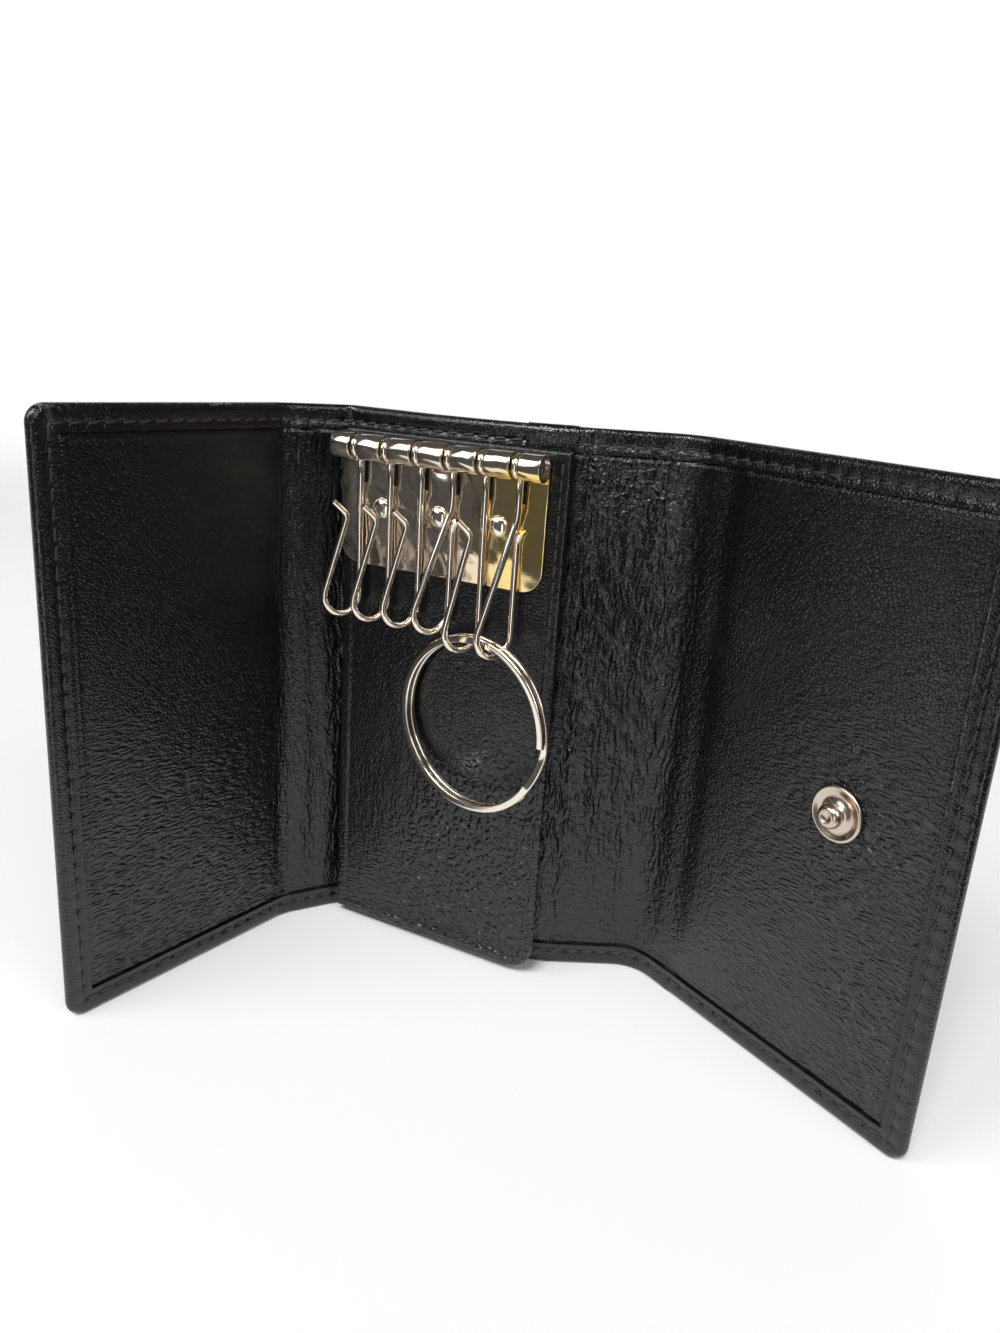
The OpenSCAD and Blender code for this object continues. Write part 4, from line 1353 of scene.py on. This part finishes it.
@dataclass(frozen=True)
class Studio:
    """White paper, soft light and the camera at the photograph's viewing angle."""

    eye: Triple = (117.1, -161.45, 117.1)
    pitch: float = 17.313
    roll: float = 3.9354
    case_turn: float = 27.0
    lens: float = 27.61
    paper_front: float = 0.13
    paper_depth: float = 1.9
    paper_bend: float = 0.4
    paper_height: float = 1.1
    paper_width: float = 4.6
    room_light: float = 0.09
    key_power: float = 2.15
    key_azimuth: float = 5.0
    key_elevation: float = 52.0
    key_softness: float = 22.0
    paper_fade: Pair = (0.35, 0.9)
    paper_rows: int = 80
    lamp_aim: Triple = (0.03, -0.02, 0.05)

    def camera(self) -> None:
        """Place the camera."""
        pitch, roll = math.radians(self.pitch), math.radians(self.roll)
        turn = Matrix.Rotation(math.radians(self.case_turn), 3, "Z")
        ahead = turn @ Vector((0, math.cos(pitch), -math.sin(pitch)))
        level = turn @ Vector((1, 0, 0))
        steep = turn @ Vector((0, math.sin(pitch), math.cos(pitch)))
        right = math.cos(roll) * level + math.sin(roll) * steep
        up = -math.sin(roll) * level + math.cos(roll) * steep
        data = bpy.data.cameras.new("photo_camera")
        data.lens = self.lens
        data.sensor_width = 36
        data.clip_start = 0.005
        camera = linked("photo_camera", data)
        aim = Matrix((right, up, -ahead)).transposed().to_4x4()
        camera.matrix_world = Matrix.Translation(Vector(self.eye) * MM) @ aim
        bpy.context.scene.camera = camera

    def _sweep(self, share: float) -> Pair:
        """Give how far behind the case and how high a share of the paper sweep lies, in metres."""
        flat = self.paper_depth - self.paper_bend
        bend = self.paper_bend * math.pi / 2
        along = share * (flat + self.paper_front + bend + self.paper_height) - self.paper_front
        if along < flat:
            return along, 0.0
        if along < flat + bend:
            angle = (along - flat) / self.paper_bend
            return flat + self.paper_bend * math.sin(angle), self.paper_bend * (1 - math.cos(angle))
        return self.paper_depth, self.paper_bend + along - flat - bend

    def paper(self) -> None:
        """Lay the white paper, which runs from just in front of the case to the wall behind."""
        bm = bmesh.new()
        bmesh.ops.create_grid(bm, x_segments=1, y_segments=self.paper_rows, size=0.5)
        far = bm.verts.layers.float.new("far")
        turn = Matrix.Rotation(math.radians(self.case_turn), 3, "Z")
        for vert in bm.verts:
            behind, height = self._sweep(vert.co.y + 0.5)
            vert[far] = smooth(*self.paper_fade, behind)
            vert.co = turn @ Vector((vert.co.x * self.paper_width, behind, height))
        mesh = bpy.data.meshes.new("paper_sweep")
        bm.to_mesh(mesh)
        bm.free()
        mesh.polygons.foreach_set("use_smooth", [True] * len(mesh.polygons))
        mesh.materials.append(self._paper_finish())
        linked("paper_sweep", mesh)

    def _paper_finish(self) -> Material:
        """Build white paper whose far part shows as plain white."""
        nodes = Nodes("white_paper")
        white = (0.97, 0.97, 0.97, 1)
        nodes.finish({"Base Color": white, "Roughness": 0.9, "Specular IOR Level": 0.1})
        path = nodes.add("LightPath").outputs
        seen = nodes.combined("ADD", path["Is Camera Ray"], path["Is Glossy Ray"])
        seen = nodes.combined("ADD", seen, path["Is Transmission Ray"])
        seen = nodes.combined("MULTIPLY", nodes.spread(seen, (0.0, 1.0)), nodes.attribute("far"))
        shown = nodes.add("Emission").outputs["Emission"]
        ends = {"Fac": seen, 1: nodes.shader.outputs["BSDF"], 2: shown}
        surface = nodes.feed(nodes.add("MixShader"), "Shader", ends)
        nodes.tree.links.new(surface, nodes.tree.nodes["Material Output"].inputs["Surface"])
        return nodes.material

    def light(self) -> None:
        """Set the dim room, the soft key light, two softboxes and the card that the metal shows."""
        world = bpy.data.worlds.new("studio")
        bpy.context.scene.world = world
        world.use_nodes = True
        room = world.node_tree.nodes["Background"]
        room.inputs["Color"].default_value = (1, 1, 1, 1)
        room.inputs["Strength"].default_value = self.room_light
        key = bpy.data.lights.new("key_light", "SUN")
        key.energy = self.key_power
        key.angle = math.radians(self.key_softness)
        lamp = linked("key_light", key)
        azimuth, height = math.radians(self.key_azimuth), math.radians(self.key_elevation)
        flat = math.cos(height)
        toward = Vector((math.sin(azimuth) * flat, -math.cos(azimuth) * flat, math.sin(height)))
        lamp.rotation_euler = toward.to_track_quat("Z", "Y").to_euler()
        self._lamp("left_softbox", (-0.35, -0.55, 0.55), (0.5, 0.5), 2.6)
        self._lamp("right_softbox", (0.62, -0.28, 0.50), (0.4, 0.4), 1.7)
        self._lamp("front_card", (0.20, -0.56, -0.08), (0.10, 0.60), 0.6)

    def _lamp(self, name: str, spot: Triple, size: Pair, power: float) -> None:
        """Add one lamp of a width and a height that faces the case."""
        data = bpy.data.lights.new(name, "AREA")
        data.shape = "RECTANGLE"
        data.size, data.size_y = size
        data.energy = power
        lamp = linked(name, data)
        lamp.location = spot
        aim = Vector(self.lamp_aim) - lamp.location
        lamp.rotation_euler = aim.to_track_quat("-Z", "Y").to_euler()

    def build(self) -> None:
        """Set the whole studio."""
        self.camera()
        self.paper()
        self.light()
        bpy.context.scene.view_settings.view_transform = "Standard"


def dress_nodes(frame: dict, finishes: Finishes) -> None:
    """Give the metal nodes that stay their polished finish."""
    for name in ("hook_rod", "snap_stud_back", "snap_socket_back"):
        node = frame["nodes"][name]
        node.data.materials.clear()
        node.data.materials.append(finishes.nickel)
        LOG.info("%s: node kept with a new finish", name)


def main() -> None:
    """Build the studio and every piece."""
    logging.basicConfig(level=logging.INFO, format="%(name)s: %(message)s")
    for name in ("Cube", "Light", "Camera"):
        if name in bpy.data.objects:
            bpy.data.objects.remove(bpy.data.objects[name])
    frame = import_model()
    Studio().build()
    shop = Workshop(make_finishes(), LeatherSheet())
    LeatherCase(shop).build()
    KeyPanel(shop).build()
    rack = HookRack(shop)
    rack.build()
    hooks = KeyHooks(shop, rack)
    hooks.build()
    SplitRing(shop, hooks).build()
    Snap(shop).build()
    dress_nodes(frame, shop.finishes)
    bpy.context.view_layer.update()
    LOG.info("%d pieces made", shop.count)


if __name__ == "__main__":
    main()
